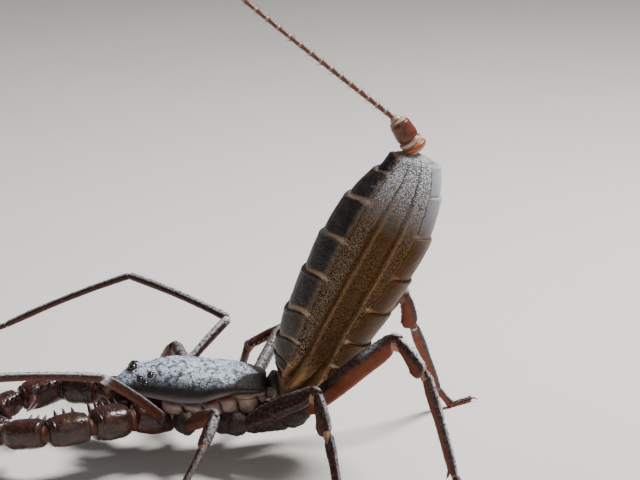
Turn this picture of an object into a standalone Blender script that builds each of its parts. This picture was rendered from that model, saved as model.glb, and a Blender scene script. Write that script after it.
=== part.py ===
"""A giant vinegaroon (whip scorpion) at life size, threatening with its abdomen raised.

Sizes are in millimetres and are turned into metres where meshes are made. The animal faces -X,
its left side is -Y and the floor is z = 0. Places along the body are counted from the pedicel,
the narrow waist between the carapace and the abdomen: x runs back from it, z is the height above
the floor. All shapes are sections carried along paths, primitives and curves, set by these sizes.
"""
import math

import bmesh
import bpy
import numpy as np
from mathutils import Matrix, Vector

MM = 0.001
GAP = 0.3                      # clearance between pieces that touch
SMALL_GAP = 0.2                # clearance round an eye in its socket
PEDICEL_X = 17.87              # places the body over the middle of its floor rectangle
BODY_Y = -1.15

# carapace: rows of distance behind the pedicel, half width, rim height, height of the dome
CARAPACE_ROWS = [
    (-20.6, 0.9, 10.0, 0.6), (-20.2, 1.9, 9.9, 1.1), (-19.3, 2.6, 9.8, 2.0), (-18.0, 3.0, 9.65, 2.85),
    (-16.2, 3.4, 9.5, 3.5), (-14.0, 4.0, 9.25, 4.25), (-11.5, 4.7, 9.1, 4.5), (-9.0, 5.1, 9.3, 3.9),
    (-6.5, 5.2, 10.1, 2.75), (-4.0, 5.0, 10.5, 1.85), (-2.2, 4.5, 10.4, 1.3), (-1.3, 4.0, 10.4, 0.95),
    (-0.9, 3.5, 10.4, 0.6),
]
CARAPACE_LIP = 0.45            # depth of the rim below the widest line
CARAPACE_POWER = 2.3           # squareness of the dome's section
OCULAR_MOUND = (-18.2, 0.45, 1.0, 1.3)    # place, height, length and width of the median eyes' mound
FOVEA = (-7.2, 0.5, 1.6, 0.5)             # place, depth, length and width of the middle pit

MEDIAN_EYE_RADIUS = 0.55
MEDIAN_EYE_PLACE = (-18.2, 0.8)
EYE_SINK = 0.3                 # share of an eye's radius by which its middle lies under the surface
LATERAL_EYE_RADIUS = 0.36
LATERAL_EYE_PLACE = (-16.4, 2.75)
LATERAL_EYE_SPREAD = 0.42

# abdomen: axis points, half depth and half width, from the pedicel to the tip
ABDOMEN_ROWS = [
    (0.3, 9.4, 1.2, 1.2), (1.9, 9.9, 3.2, 2.9), (4.3, 12.0, 4.9, 4.4), (6.0, 15.2, 5.5, 5.3),
    (7.3, 18.4, 5.8, 5.8), (9.8, 23.2, 6.2, 6.2), (12.3, 27.9, 6.4, 6.3), (15.1, 32.9, 5.9, 5.7),
    (17.5, 37.5, 4.2, 4.1), (18.45, 40.5, 2.8, 2.6),
]
SEGMENT_ENDS = [0.9, 2.2, 4.3, 8.2, 12.0, 17.2, 22.4, 28.3, 33.2, 36.4]
BAND = 0.7                     # width of the soft band between two plates
PLATE_FRONT = 0.08             # height of a plate's front edge above the membrane
PLATE_REAR = 0.34              # height of its rear edge, which overhangs the next band
# half angle of the plates at lengths along the axis, from the middle of the back and of the belly
TERGITE_ANGLES = [(0, 58), (8, 55), (16, 52), (28, 50), (33, 45), (37, 40)]
STERNITE_ANGLES = [(0, 60), (8, 65), (16, 62), (22, 54), (28, 50), (33, 48), (37, 46)]
BAND_LEAN = 1.0                # how far a band's ends beside the back plates lie towards the tip
BAND_LEAN_ANGLE = 52.0         # where it leans most, in degrees from the middle of the back
FOLD_ANGLES = (74.0, 104.0)    # lengthwise grooves of the soft flank
FOLD_DEPTH = 0.28
EDGE_ANGLE = 1.5               # degrees over which a plate falls to the flank
FOLD_SPREAD = 5.0              # degrees from a groove's bottom to its banks

PYGIDIUM_BASE = (18.42, 41.15)
PYGIDIUM_TIP = (15.85, 45.3)
# the three tip rings: rows of radius and share of the length
PYGIDIUM_OUTLINE = [
    (1.2, 0.0), (1.62, 0.08), (1.6, 0.2), (1.42, 0.23), (1.5, 0.27), (1.47, 0.36), (1.34, 0.39),
    (1.42, 0.46), (1.38, 0.7), (1.25, 0.88), (0.95, 0.97), (0.5, 1.0),
]

FLAGELLUM_ROOT = (15.35, 45.55)
FLAGELLUM_BEARING = 141.6      # degrees from +X towards +Z
FLAGELLUM_LENGTH = 45.0
FLAGELLUM_RADII = (0.39, 0.27)
FLAGELLUM_JOINTS = (1.35, 2.3)  # length of its first and of its last joint
FLAGELLUM_BEND = 3.0            # how far the tip strays from the straight line

# walking legs: lengths of femur, patella, tibia, basitarsus and telotarsus
LEG_LENGTHS = {2: (9.4, 4.6, 7.2, 2.8, 2.9), 3: (11.6, 5.7, 7.7, 2.9, 3.0), 4: (16.7, 5.8, 13.4, 3.9, 3.8)}
LEG_DEPTHS = {2: 1.15, 3: 1.3, 4: 1.4}           # half depth of the femur
COXA_RADII = {1: 1.25, 2: 1.75, 3: 1.85, 4: 2.15}
ANKLE_HEIGHTS = {2: 2.5, 3: 2.6, 4: 3.3}
FEMUR_ROOTS = {1: (-14.3, 5.3, 7.4), 2: (-10.6, 6.9, 6.9), 3: (-3.4, 7.0, 6.9), 4: (4.6, 7.0, 8.9)}
COXA_ROOTS = {1: (-14.6, 2.0, 6.6), 2: (-11.8, 2.0, 6.3), 3: (-7.6, 2.0, 6.3), 4: (-5.0, 2.2, 6.5)}
COXA_ENDS = {1: (-14.3, 3.9, 6.9), 2: (-11.0, 5.2, 6.5), 3: (-4.9, 5.2, 6.5), 4: (1.3, 5.3, 7.4)}

# pose of each leg: bearing from +X outwards and slope of femur and patella, bearing of tibia, foot
WALKING_POSES = {
    (2, "left"): ((65, 24), (114, -42), 128, 140), (2, "right"): ((110, 22), (121, -38), 131, 140),
    (3, "left"): ((27, 30), (55, -60), 78, 66), (3, "right"): ((66, 29), (154, -30), 130, 150),
    (4, "left"): ((28, 42), (31, -42), 10, 39), (4, "right"): ((13, 40), (44, -66), 62, 40),
}
# the long feeler-like first legs: lengths, radii at their joints, then bearing and slope of each part
FEELER_LENGTHS = (14.5, 17.0, 21.0, 13.0)
FEELER_RADII = (0.72, 0.6, 0.5, 0.42, 0.27)
FEELER_POSES = {
    "left": ((124, 36), (152, 8), (165, -28), (172, -29)),
    "right": ((51, 29), (148, 12), (163, -25), (170, -28)),
}

# pedipalps: joints of one of them from its coxa outwards, mirrored for the other
PALP_JOINTS = [(-18.3, 4.3, 6.8), (-23.2, 7.2, 6.8), (-28.6, 9.4, 6.6), (-34.2, 7.0, 5.6), (-37.6, 3.9, 4.7)]
PALP_TIP = (-39.2, 0.9, 4.0)
PALP_ROOT = (-13.5, 2.0, 6.2)
PALP_RADII = (1.85, 1.8, 1.7, 1.45, 1.1)          # at its joints
PALP_BLUNT = 0.3               # how far its rounded ends stand out, as a share of their radius
# half width and half height of each part
PALP_PARTS = {"trochanter": (2.35, 2.15), "femur": (2.05, 2.05), "patella": (2.0, 1.9), "tibia": (1.7, 1.6)}
BLUNT = 0.45                   # how far a rounded end stands out, as a share of its radius

CHELICERA = ((-18.0, 1.35, 8.0), (-22.6, 1.3, 7.5))
CHELICERA_RADIUS = 1.05

SIDES = {"left": -1.0, "right": 1.0}


def place(x, y, z):
    """A point of the part's frame from one counted from the pedicel."""
    return np.array([x + PEDICEL_X, y + BODY_Y, z], dtype=float)


def unit(vector):
    """The same direction, one long."""
    return vector / np.linalg.norm(vector)


def heading(bearing, slope, sign):
    """A direction from its bearing, counted from +X towards the leg's own side, and its slope."""
    b, s = math.radians(bearing), math.radians(slope)
    return np.array([math.cos(b) * math.cos(s), sign * math.sin(b) * math.cos(s), math.sin(s)])


def clear_scene():
    """Remove what the startup file holds."""
    for thing in list(bpy.data.objects):
        bpy.data.objects.remove(thing, do_unlink=True)


def finish(name, colour, roughness, metallic=0.0):
    """A Principled material."""
    material = bpy.data.materials.new(name)
    material.use_nodes = True
    shader = material.node_tree.nodes["Principled BSDF"]
    shader.inputs["Base Color"].default_value = (*colour, 1.0)
    shader.inputs["Roughness"].default_value = roughness
    shader.inputs["Metallic"].default_value = metallic
    return material


def new_object(name, mesh, group, material=None):
    """Put a mesh into a collection as an object."""
    thing = bpy.data.objects.new(name, mesh)
    group.objects.link(thing)
    if material:
        mesh.materials.clear()
        mesh.materials.append(material)
    return thing


def loft(name, rings, tips, group, material=None):
    """Skin an array of rings (stations, columns, 3) in mm and close it at the two tips."""
    count, columns = rings.shape[:2]
    points = np.concatenate([rings.reshape(-1, 3), np.array(tips)]) * MM
    i, j = np.meshgrid(np.arange(count - 1), np.arange(columns), indexing="ij")
    k = (j + 1) % columns
    quads = np.stack([i * columns + j, i * columns + k, (i + 1) * columns + k, (i + 1) * columns + j], -1)
    around = np.arange(columns)
    after = (around + 1) % columns
    first, last = count * columns, count * columns + 1
    base = (count - 1) * columns
    start_fan = np.stack([np.full(columns, first), after, around], -1)
    end_fan = np.stack([np.full(columns, last), base + around, base + after], -1)
    faces = quads.reshape(-1, 4).tolist() + start_fan.tolist() + end_fan.tolist()
    mesh = bpy.data.meshes.new(name)
    mesh.from_pydata(points.tolist(), [], faces)
    mesh.validate()
    mesh.shade_smooth()
    mesh.set_sharp_from_angle(angle=math.radians(35))
    return new_object(name, mesh, group, material)


def ellipse_rings(path, side, widths, rises, drops, columns, power=2.0):
    """Sections about a path: half width along `side`, then rise above and drop below the path."""
    tangents = np.gradient(path, axis=0)
    tangents /= np.linalg.norm(tangents, axis=1, keepdims=True)
    across = side - (tangents @ side)[:, None] * tangents
    across /= np.linalg.norm(across, axis=1, keepdims=True)
    above = np.cross(across, tangents)
    angle = np.arange(columns) * 2 * math.pi / columns
    sine = np.sign(np.sin(angle)) * np.abs(np.sin(angle)) ** (2 / power)
    cosine = np.sign(np.cos(angle)) * np.abs(np.cos(angle)) ** (2 / power)
    heights = np.where(cosine > 0, rises[:, None], drops[:, None]) * cosine
    outward = across[:, None] * (widths[:, None] * sine)[..., None]
    return path[:, None] + outward + above[:, None] * heights[..., None]


def rounded(name, path, side, widths, rises, drops, group, columns=8, power=2.0, floor=None, material=None,
            blunt=BLUNT):
    """A closed limb about a path whose two ends bulge by a share of their own radius."""
    ends, caps = [], []
    for near, inner in ((0, 1), (-1, -2)):
        outward = unit(path[near] - path[inner])
        radius = max(rises[near], drops[near])
        ends.append(path[near] + outward * radius * blunt)
        caps.append(path[near] + outward * radius * blunt * 0.7)
    grow = np.concatenate([[0], np.arange(len(path)), [len(path) - 1]])
    scale = np.concatenate([[0.71], np.ones(len(path)), [0.71]])
    full_path = np.concatenate([[caps[0]], path, [caps[1]]])
    sizes = [np.asarray(size, float)[grow] * scale for size in (widths, rises, drops)]
    rings = ellipse_rings(full_path, side, *sizes, columns, power)
    if floor is not None:
        rings[..., 2] = np.maximum(rings[..., 2], floor)
    return loft(name, rings, ends, group, material)


def horn(name, root, tip, bow, radius, group, columns=6, stations=4, floor=None):
    """A curved, tapered spine, tooth or claw; `bow` bends its middle away from the straight line."""
    root, tip, bow = np.array(root, float), np.array(tip, float), np.array(bow, float)
    t = np.linspace(0.0, 1.0, stations)[:, None]
    path = root + (tip - root) * t + bow * 4 * t * (1 - t)
    size = radius * (1 - 0.82 * t[:, 0])
    axis = unit(tip - root)
    helper = np.array([0.0, 0.0, 1.0]) if abs(axis[2]) < 0.8 else np.array([1.0, 0.0, 0.0])
    side = unit(np.cross(axis, helper))
    return rounded(name, path, side, size, size, size, group, columns, floor=floor, blunt=1.2)


def largest_surface(mesh):
    """Keep only the mesh's largest closed surface."""
    work = bmesh.new()
    work.from_mesh(mesh)
    unseen = set(work.verts)
    islands = []
    while unseen:
        island, front = set(), [unseen.pop()]
        while front:
            vert = front.pop()
            island.add(vert)
            for edge in vert.link_edges:
                other = edge.other_vert(vert)
                if other in unseen:
                    unseen.discard(other)
                    front.append(other)
        islands.append(island)
    keep = max(islands, key=lambda verts: max(v.co.z for v in verts) - min(v.co.z for v in verts)
               + max(v.co.x for v in verts) - min(v.co.x for v in verts))
    bmesh.ops.delete(work, geom=[v for v in work.verts if v not in keep], context="VERTS")
    work.to_mesh(mesh)
    work.free()


def combine(name, body, others, operation, parts, material, solver="EXACT"):
    """Join other closed pieces to a body, or cut them from it, as one node."""
    group = bpy.data.collections.new(name + "_pieces")
    bpy.context.scene.collection.children.link(group)
    for thing in others:
        for owner in list(thing.users_collection):
            owner.objects.unlink(thing)
        group.objects.link(thing)
    modifier = body.modifiers.new(operation.lower(), "BOOLEAN")
    modifier.operation = operation
    modifier.operand_type = "COLLECTION"
    modifier.collection = group
    modifier.solver = solver
    bpy.context.view_layer.update()
    evaluated = body.evaluated_get(bpy.context.evaluated_depsgraph_get())
    mesh = bpy.data.meshes.new_from_object(evaluated)
    mesh.name = name
    for thing in others + [body]:
        bpy.data.objects.remove(thing, do_unlink=True)
    bpy.data.collections.remove(group)
    largest_surface(mesh)
    mesh.shade_smooth()
    mesh.set_sharp_from_angle(angle=math.radians(35))
    return new_object(name, mesh, parts, material)


def carapace_row(x):
    """Half width, rim height and dome height of the carapace at a distance behind the pedicel."""
    rows = np.array(CARAPACE_ROWS)
    return [np.interp(x, rows[:, 0], rows[:, column]) for column in (1, 2, 3)]


def carapace_relief(x, y):
    """The mound under the median eyes and the pit in the middle, as heights added to the dome."""
    mound = OCULAR_MOUND[1] * np.exp(-((x - OCULAR_MOUND[0]) / OCULAR_MOUND[2]) ** 2
                                     - (y / OCULAR_MOUND[3]) ** 2)
    pit = FOVEA[1] * np.exp(-((x - FOVEA[0]) / FOVEA[2]) ** 2 - (y / FOVEA[3]) ** 2)
    return mound - pit


def carapace_height(x, y):
    """Height of the carapace's upper surface at a place on it."""
    half_width, rim, dome = carapace_row(x)
    share = np.clip(1 - np.abs(y / half_width) ** CARAPACE_POWER, 0, 1)
    return rim + dome * share ** (1 / CARAPACE_POWER) + carapace_relief(x, y)


def carapace_normal(x, y, step=0.1):
    """Outward direction of the carapace's upper surface."""
    slope_x = (carapace_height(x + step, y) - carapace_height(x - step, y)) / (2 * step)
    slope_y = (carapace_height(x, y + step) - carapace_height(x, y - step)) / (2 * step)
    return unit(np.array([-slope_x, -slope_y, 1.0]))


def make_carapace(parts, material):
    """The shield over the front body, with sockets for its eyes."""
    rows = np.array(CARAPACE_ROWS)
    x = np.sort(np.concatenate([rows[:, 0], np.array([-17.2, -7.6, -5.2, -19.7])]))
    half_width, rim, dome = carapace_row(x)
    path = np.stack([x, np.zeros_like(x), rim], axis=1)
    lips = np.full_like(x, CARAPACE_LIP)
    lips[[0, -1]] = 0.25
    rings = ellipse_rings(path, np.array([0.0, -1.0, 0.0]), half_width, dome, lips, 24, CARAPACE_POWER)
    rings[..., 0] = x[:, None]
    upper = rings[..., 2] > rim[:, None] + 0.05
    rings[..., 2] += np.where(upper, carapace_relief(rings[..., 0], rings[..., 1]), 0.0)
    tips = [rings[0].mean(axis=0) - np.array([0.15, 0, 0]), rings[-1].mean(axis=0) + np.array([0.12, 0, 0])]
    offset = place(0, 0, 0)
    body = loft("carapace_blank", rings + offset, [tip + offset for tip in tips], parts)
    cutters = []
    for sign in SIDES.values():
        cutters.append(socket_cutter(MEDIAN_EYE_PLACE, sign, MEDIAN_EYE_RADIUS, parts))
        for spot in lateral_eye_places():
            cutters.append(socket_cutter(spot, sign, LATERAL_EYE_RADIUS, parts))
    return combine("carapace", body, cutters, "DIFFERENCE", parts, material)


def lateral_eye_places():
    """The three eyes of one side, set in a triangle."""
    centre = np.array(LATERAL_EYE_PLACE)
    corners = np.array([(-1.0, -0.15), (0.05, 0.5), (1.0, -0.25)])
    return centre + corners * LATERAL_EYE_SPREAD * 1.6


def socket_cutter(spot, sign, radius, parts):
    """A ball that leaves a shallow cup in the carapace for one eye."""
    return eye_ball("socket", spot, sign, radius + SMALL_GAP, parts, sunk=radius * EYE_SINK)


def eye_ball(name, spot, sign, radius, parts, sunk=0.0, material=None, segments=10):
    """A ball whose centre lies on the carapace's surface, or sunk below it."""
    x, y = spot[0], spot[1] * sign
    centre = np.array([x, y, float(carapace_height(x, y))]) - carapace_normal(x, y) * sunk
    mesh = bpy.data.meshes.new(name)
    work = bmesh.new()
    bmesh.ops.create_uvsphere(work, u_segments=segments, v_segments=segments // 2, radius=radius * MM)
    work.to_mesh(mesh)
    work.free()
    turn = Vector((0, 0, 1)).rotation_difference(Vector(carapace_normal(x, y))).to_matrix().to_4x4()
    mesh.transform(Matrix.Translation(Vector(place(*centre) * MM)) @ turn)
    mesh.shade_smooth()
    return new_object(name, mesh, parts, material)


def make_eyes(parts, material):
    """Two median eyes, each its own node, and three small side eyes joined on each side."""
    for side, sign in SIDES.items():
        eye_ball("median_eye_" + side, MEDIAN_EYE_PLACE, sign, MEDIAN_EYE_RADIUS, parts,
                 MEDIAN_EYE_RADIUS * EYE_SINK, material)
        spots = lateral_eye_places()
        balls = [eye_ball("eye", spot, sign, LATERAL_EYE_RADIUS, parts, LATERAL_EYE_RADIUS * EYE_SINK, None, 8)
                 for spot in spots]
        links = []
        for one, two in ((0, 1), (1, 2)):
            ends = [lift(spots[index], sign, 0.22) for index in (one, two)]
            links.append(horn("link", ends[0], ends[1], (0, 0, 0), 0.14, parts, 5, 3))
        combine("lateral_eyes_" + side, balls[0], balls[1:] + links, "UNION", parts, material)


def lift(spot, sign, height):
    """A point above the carapace's surface."""
    x, y = spot[0], spot[1] * sign
    point = np.array([x, y, float(carapace_height(x, y))]) + carapace_normal(x, y) * height
    return place(*point)


def smooth_rows(rows, places):
    """Rows of place and sizes, read at other places on a smooth cubic through every row."""
    rows = np.array(rows, float)
    knots = rows[:, 0]
    slopes = np.gradient(rows, knots, axis=0)
    index = np.clip(np.searchsorted(knots, places, side="right") - 1, 0, len(knots) - 2)
    width = (knots[index + 1] - knots[index])[..., None]
    t = np.clip((places - knots[index])[..., None] / width, 0, 1)
    return ((2 * t**3 - 3 * t**2 + 1) * rows[index] + (t**3 - 2 * t**2 + t) * width * slopes[index]
            + (3 * t**2 - 2 * t**3) * rows[index + 1] + (t**3 - t**2) * width * slopes[index + 1])[..., 1:]


def abdomen_surface(s, angle, height):
    """Points of the abdomen at lengths along its axis, angles from the middle of the back, and heights."""
    rows = np.array(ABDOMEN_ROWS, float)
    knots = np.concatenate([[0], np.cumsum(np.hypot(*np.diff(rows[:, :2], axis=0).T))])
    table = np.column_stack([knots, rows])
    size = smooth_rows(table, s)
    change = smooth_rows(table, s + 0.05) - smooth_rows(table, s - 0.05)
    tangent = np.stack([change[..., 0], np.zeros_like(s), change[..., 1]], -1)
    tangent /= np.linalg.norm(tangent, axis=-1, keepdims=True)
    side = np.array([0.0, -1.0, 0.0])
    above = np.cross(side, tangent)
    wide = ((size[..., 3] + height) * np.sin(angle))[..., None]
    deep = ((size[..., 2] + height) * np.cos(angle))[..., None]
    centre = np.stack([size[..., 0], np.zeros_like(s), size[..., 1]], -1)
    return centre + side * wide + above * deep + place(0, 0, 0)


def abdomen_stations():
    """Lengths along the axis with the height of the plates there: a step up and down per segment."""
    edge = 0.1
    stations = [(0.35, 0.0)]
    for start, end in zip(SEGMENT_ENDS[:-1], SEGMENT_ENDS[1:]):
        band = min(BAND, 0.3 * (end - start))
        front, rear = start + band / 2, end - band / 2
        count = 2 if end - start > 3 else 1
        stations.append((front, 0.0))
        for share in np.linspace(0, 1, count + 1):
            height = PLATE_FRONT + (PLATE_REAR - PLATE_FRONT) * share
            reach = min(1.0, (end - start) / 3)
            stations.append((front + edge + (rear - front - 2 * edge) * share, height * reach))
        stations.append((rear, 0.0))
    return np.array(stations)


def abdomen_columns(s):
    """For each station the angles round it in degrees, whether a plate lies there, and the fold height."""
    tergite = smooth_rows(TERGITE_ANGLES, s)[..., 0]
    sternite = 180 - smooth_rows(STERNITE_ANGLES, s)[..., 0]
    half = [0 * s, tergite * 0.35, tergite * 0.7, tergite - EDGE_ANGLE, tergite + EDGE_ANGLE]
    fold = [0 * s] * 5
    for groove in FOLD_ANGLES:
        half += [groove - FOLD_SPREAD + 0 * s, groove + 0 * s, groove + FOLD_SPREAD + 0 * s]
        fold += [0 * s, 0 * s - FOLD_DEPTH, 0 * s]
    middle = 180 - sternite
    half += [sternite - EDGE_ANGLE, sternite + EDGE_ANGLE, 180 - middle * 0.65, 180 - middle * 0.3, 180 + 0 * s]
    fold += [0 * s] * 5
    half, fold = np.stack(half, -1), np.stack(fold, -1)
    back = slice(-2, 0, -1)
    angles = np.concatenate([half, 360 - half[:, back]], axis=1)
    folded = np.minimum(angles, 360 - angles)
    plate = (folded < tergite[:, None]) | (folded > sternite[:, None])
    return angles, plate, np.concatenate([fold, fold[:, back]], axis=1)


def make_abdomen(parts, material):
    """The abdomen: a soft body with nine back plates and nine belly plates raised on it.

    A station's points lie a little further along the axis beside the back plates than on the back
    and the belly, by the band lean times the squared sine of their angle.
    """
    stations = abdomen_stations()
    s, raised = stations[:, 0], stations[:, 1:]
    angles, plate, fold = abdomen_columns(s)
    folded = np.minimum(angles, 360 - angles)
    turn = np.clip(folded / BAND_LEAN_ANGLE, 0, 2) * math.pi / 2
    ends = np.clip(np.minimum(s - s[0], s[-1] - s) / 2, 0, 1)[:, None]
    places = s[:, None] + BAND_LEAN * np.sin(turn) ** 2 * ends
    size = np.clip((s[:, None] - 0.35) / 5, 0, 1)
    height = raised * plate + fold * size
    rings = abdomen_surface(places, np.radians(angles), height)
    cap = unit(rings[-1].mean(axis=0) - rings[-2].mean(axis=0)) * 0.15
    loft("abdomen", rings, [rings[0].mean(axis=0), rings[-1].mean(axis=0) + cap], parts, material)


def make_pygidium(parts, material):
    """Three telescoped rings at the abdomen's tip, turned about their axis."""
    base = place(PYGIDIUM_BASE[0], 0, PYGIDIUM_BASE[1])
    tip = place(PYGIDIUM_TIP[0], 0, PYGIDIUM_TIP[1])
    length = np.linalg.norm(tip - base)
    outline = [(0.0, 0.0)] + [(radius, share * length) for radius, share in PYGIDIUM_OUTLINE] + [(0.0, length + 0.05)]
    mesh = bpy.data.meshes.new("pygidium")
    points = [(radius * MM, 0.0, height * MM) for radius, height in reversed(outline)]
    mesh.from_pydata(points, [(index, index + 1) for index in range(len(points) - 1)], [])
    thing = new_object("pygidium", mesh, parts, material)
    turned = thing.modifiers.new("turned", "SCREW")
    turned.steps = turned.render_steps = 16
    turned.use_merge_vertices = True
    turned.merge_threshold = 0.00001
    turned.use_smooth_shade = True
    thing.location = Vector(base * MM)
    thing.rotation_mode = "QUATERNION"
    thing.rotation_quaternion = Vector((0, 0, 1)).rotation_difference(Vector(tip - base))


def flagellum_point(s):
    """The whip's middle line: straight from its root, then bending up and aside towards its tip."""
    bearing = math.radians(FLAGELLUM_BEARING)
    root = place(FLAGELLUM_ROOT[0], 0, FLAGELLUM_ROOT[1])
    along = np.array([math.cos(bearing), 0, math.sin(bearing)])
    stray = FLAGELLUM_BEND * np.maximum(s / FLAGELLUM_LENGTH - 0.35, 0)[:, None] ** 2
    return root + along * s[:, None] + stray * np.array([0.35, 0.6, 0.9])


def flagellum_joints():
    """Ends of the whip's joints, which grow longer towards its tip."""
    first, last = FLAGELLUM_JOINTS
    count = round(2 * FLAGELLUM_LENGTH / (first + last))
    lengths = np.linspace(first, last, count)
    return np.concatenate([[0], np.cumsum(lengths * FLAGELLUM_LENGTH / lengths.sum())])


def make_flagellum(parts, material):
    """The whip in three lengths, each a round curve that swells at every joint."""
    ends = flagellum_joints()
    count = len(ends) - 1
    thirds = np.linspace(0, count, 4).round().astype(int)
    for name, low, high in zip(("base", "middle", "tip"), thirds[:-1], thirds[1:]):
        places, sizes = [], []
        for index in range(low, high):
            start, end = ends[index], ends[index + 1]
            start += GAP / 2 if index == low and low > 0 else 0
            end -= GAP / 2 if index == high - 1 and high < count else 0
            places += [start + 0.02, start + 0.35 * (end - start), end - 0.02]
            sizes += [0.96, 0.84, 1.08]
        s = np.array(places)
        radius = np.interp(s, [0, FLAGELLUM_LENGTH], FLAGELLUM_RADII) * np.array(sizes)
        round_curve("flagellum_" + name, flagellum_point(s), radius, parts, material)


def round_curve(name, points, radii, parts, material):
    """A round tube on a polyline with its own radius at each point, made a closed mesh."""
    curve = bpy.data.curves.new(name, "CURVE")
    curve.dimensions = "3D"
    curve.bevel_depth = MM
    curve.bevel_resolution = 1
    curve.use_fill_caps = True
    spline = curve.splines.new("POLY")
    spline.points.add(len(points) - 1)
    for point, spot, radius in zip(spline.points, points, radii):
        point.co = (*(spot * MM), 1.0)
        point.radius = radius
    blank = bpy.data.objects.new(name + "_curve", curve)
    parts.objects.link(blank)
    bpy.context.view_layer.update()
    evaluated = blank.evaluated_get(bpy.context.evaluated_depsgraph_get())
    mesh = bpy.data.meshes.new_from_object(evaluated)
    mesh.name = name
    bpy.data.objects.remove(blank, do_unlink=True)
    bpy.data.curves.remove(curve)
    work = bmesh.new()
    work.from_mesh(mesh)
    bmesh.ops.remove_doubles(work, verts=work.verts, dist=0.00001)
    bmesh.ops.recalc_face_normals(work, faces=work.faces)
    work.to_mesh(mesh)
    work.free()
    mesh.shade_smooth()
    return new_object(name, mesh, parts, material)


def inset(radius, one, two, blunt=BLUNT):
    """How far from a joint the rounded ends of two parts are centred, so that they clear each other."""
    half = math.acos(float(np.clip(np.dot(unit(one), unit(two)), -1, 1))) / 2
    reach = radius * math.hypot(blunt * math.sin(half), math.cos(half))
    return (reach + GAP / 2) / math.sin(half)


def limb(name, start, end, side, shape, insets, parts, columns=8, bow=0.0, power=2.0, material=None,
         blunt=BLUNT):
    """A leg part between two joints; shape rows are share of length, half width, rise and drop."""
    axis = unit(end - start)
    low, high = start + axis * insets[0], end - axis * insets[1]
    shape = np.array(shape, float)
    t = shape[:, :1]
    above = unit(np.cross(unit(side - (axis @ side) * axis), axis))
    path = low + (high - low) * t + above * bow * 4 * t * (1 - t)
    return rounded(name, path, side, shape[:, 1], shape[:, 2], shape[:, 3], parts, columns, power,
                   material=material, blunt=blunt)


def walking_leg_joints(leg, side):
    """Joints of a walking leg from its femur's root to its claws, with the foot set on the floor."""
    sign = SIDES[side]
    femur, patella, tibia, basitarsus, telotarsus = LEG_LENGTHS[leg]
    femur_way, patella_way, tibia_bearing, foot_bearing = WALKING_POSES[(leg, side)]
    x, y, z = FEMUR_ROOTS[leg]
    root = place(x, y * sign, z)
    knee = root + femur * heading(*femur_way, sign)
    shin = knee + patella * heading(*patella_way, sign)
    ankle_height, sole = ANKLE_HEIGHTS[leg], sole_height(leg)
    slope = math.degrees(math.asin((ankle_height - shin[2]) / tibia))
    ankle = shin + tibia * heading(tibia_bearing, slope, sign)
    slope = math.degrees(math.asin((sole - ankle_height) / basitarsus))
    heel = ankle + basitarsus * heading(foot_bearing, slope, sign)
    toe = heel + telotarsus * heading(foot_bearing, 0, sign)
    return [root, knee, shin, ankle, heel, toe]


def sole_height(leg):
    """Height of the foot's middle line, so that its underside is cut flat by the floor."""
    return 0.27 if leg < 4 else 0.29


def make_walking_leg(leg, side, parts, materials):
    """Femur, patella, tibia and foot of one walking leg."""
    root, knee, shin, ankle, heel, toe = walking_leg_joints(leg, side)
    tag = f"leg{leg}_{{}}_{side}"
    d = LEG_DEPTHS[leg]
    hip_r, knee_r, shin_r, ankle_r = 0.72 * d, 0.74 * d, 0.62 * d, 0.42 * d
    across = unit(np.cross(ankle - shin, knee - root))
    coxa_end = place(COXA_ENDS[leg][0], COXA_ENDS[leg][1] * SIDES[side], COXA_ENDS[leg][2])
    hip_in = inset(hip_r, coxa_end - root, knee - root)
    knee_in = inset(knee_r, root - knee, shin - knee)
    shin_in = inset(shin_r, knee - shin, ankle - shin)
    ankle_in = inset(ankle_r, shin - ankle, heel - ankle)
    femur = [(0, 0.42 * d, hip_r, hip_r), (0.12, 0.5 * d, 0.9 * d, 0.85 * d), (0.35, 0.6 * d, d, 1.05 * d),
             (0.65, 0.6 * d, d, 1.0 * d), (0.88, 0.58 * d, 0.92 * d, 0.84 * d), (1, 0.52 * d, knee_r, knee_r)]
    limb(tag.format("femur"), root, knee, across, femur, (hip_in, knee_in), parts, 10, 0.25,
         material=materials["leg"])
    patella = [(0, 0.5 * d, knee_r, knee_r * 0.85), (0.25, 0.52 * d, 0.84 * d, 0.7 * d),
               (0.8, 0.5 * d, 0.74 * d, 0.92 * d), (1, 0.44 * d, shin_r, shin_r)]
    limb(tag.format("patella"), knee, shin, across, patella, (knee_in, shin_in), parts, 8, 0.1,
         material=materials["leg"])
    tibia = [(0, 0.42 * d, shin_r, shin_r), (0.2, 0.42 * d, 0.62 * d, 0.58 * d),
             (0.6, 0.38 * d, 0.5 * d, 0.5 * d), (0.9, 0.38 * d, 0.48 * d, 0.48 * d), (1, 0.34 * d, ankle_r, ankle_r)]
    limb(tag.format("tibia"), shin, ankle, across, tibia, (shin_in, ankle_in), parts, 8, 0.12,
         material=materials["leg"])
    make_foot(tag.format("tarsus"), ankle, heel, toe, ankle_in, ankle_r, parts, materials["leg"])


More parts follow.
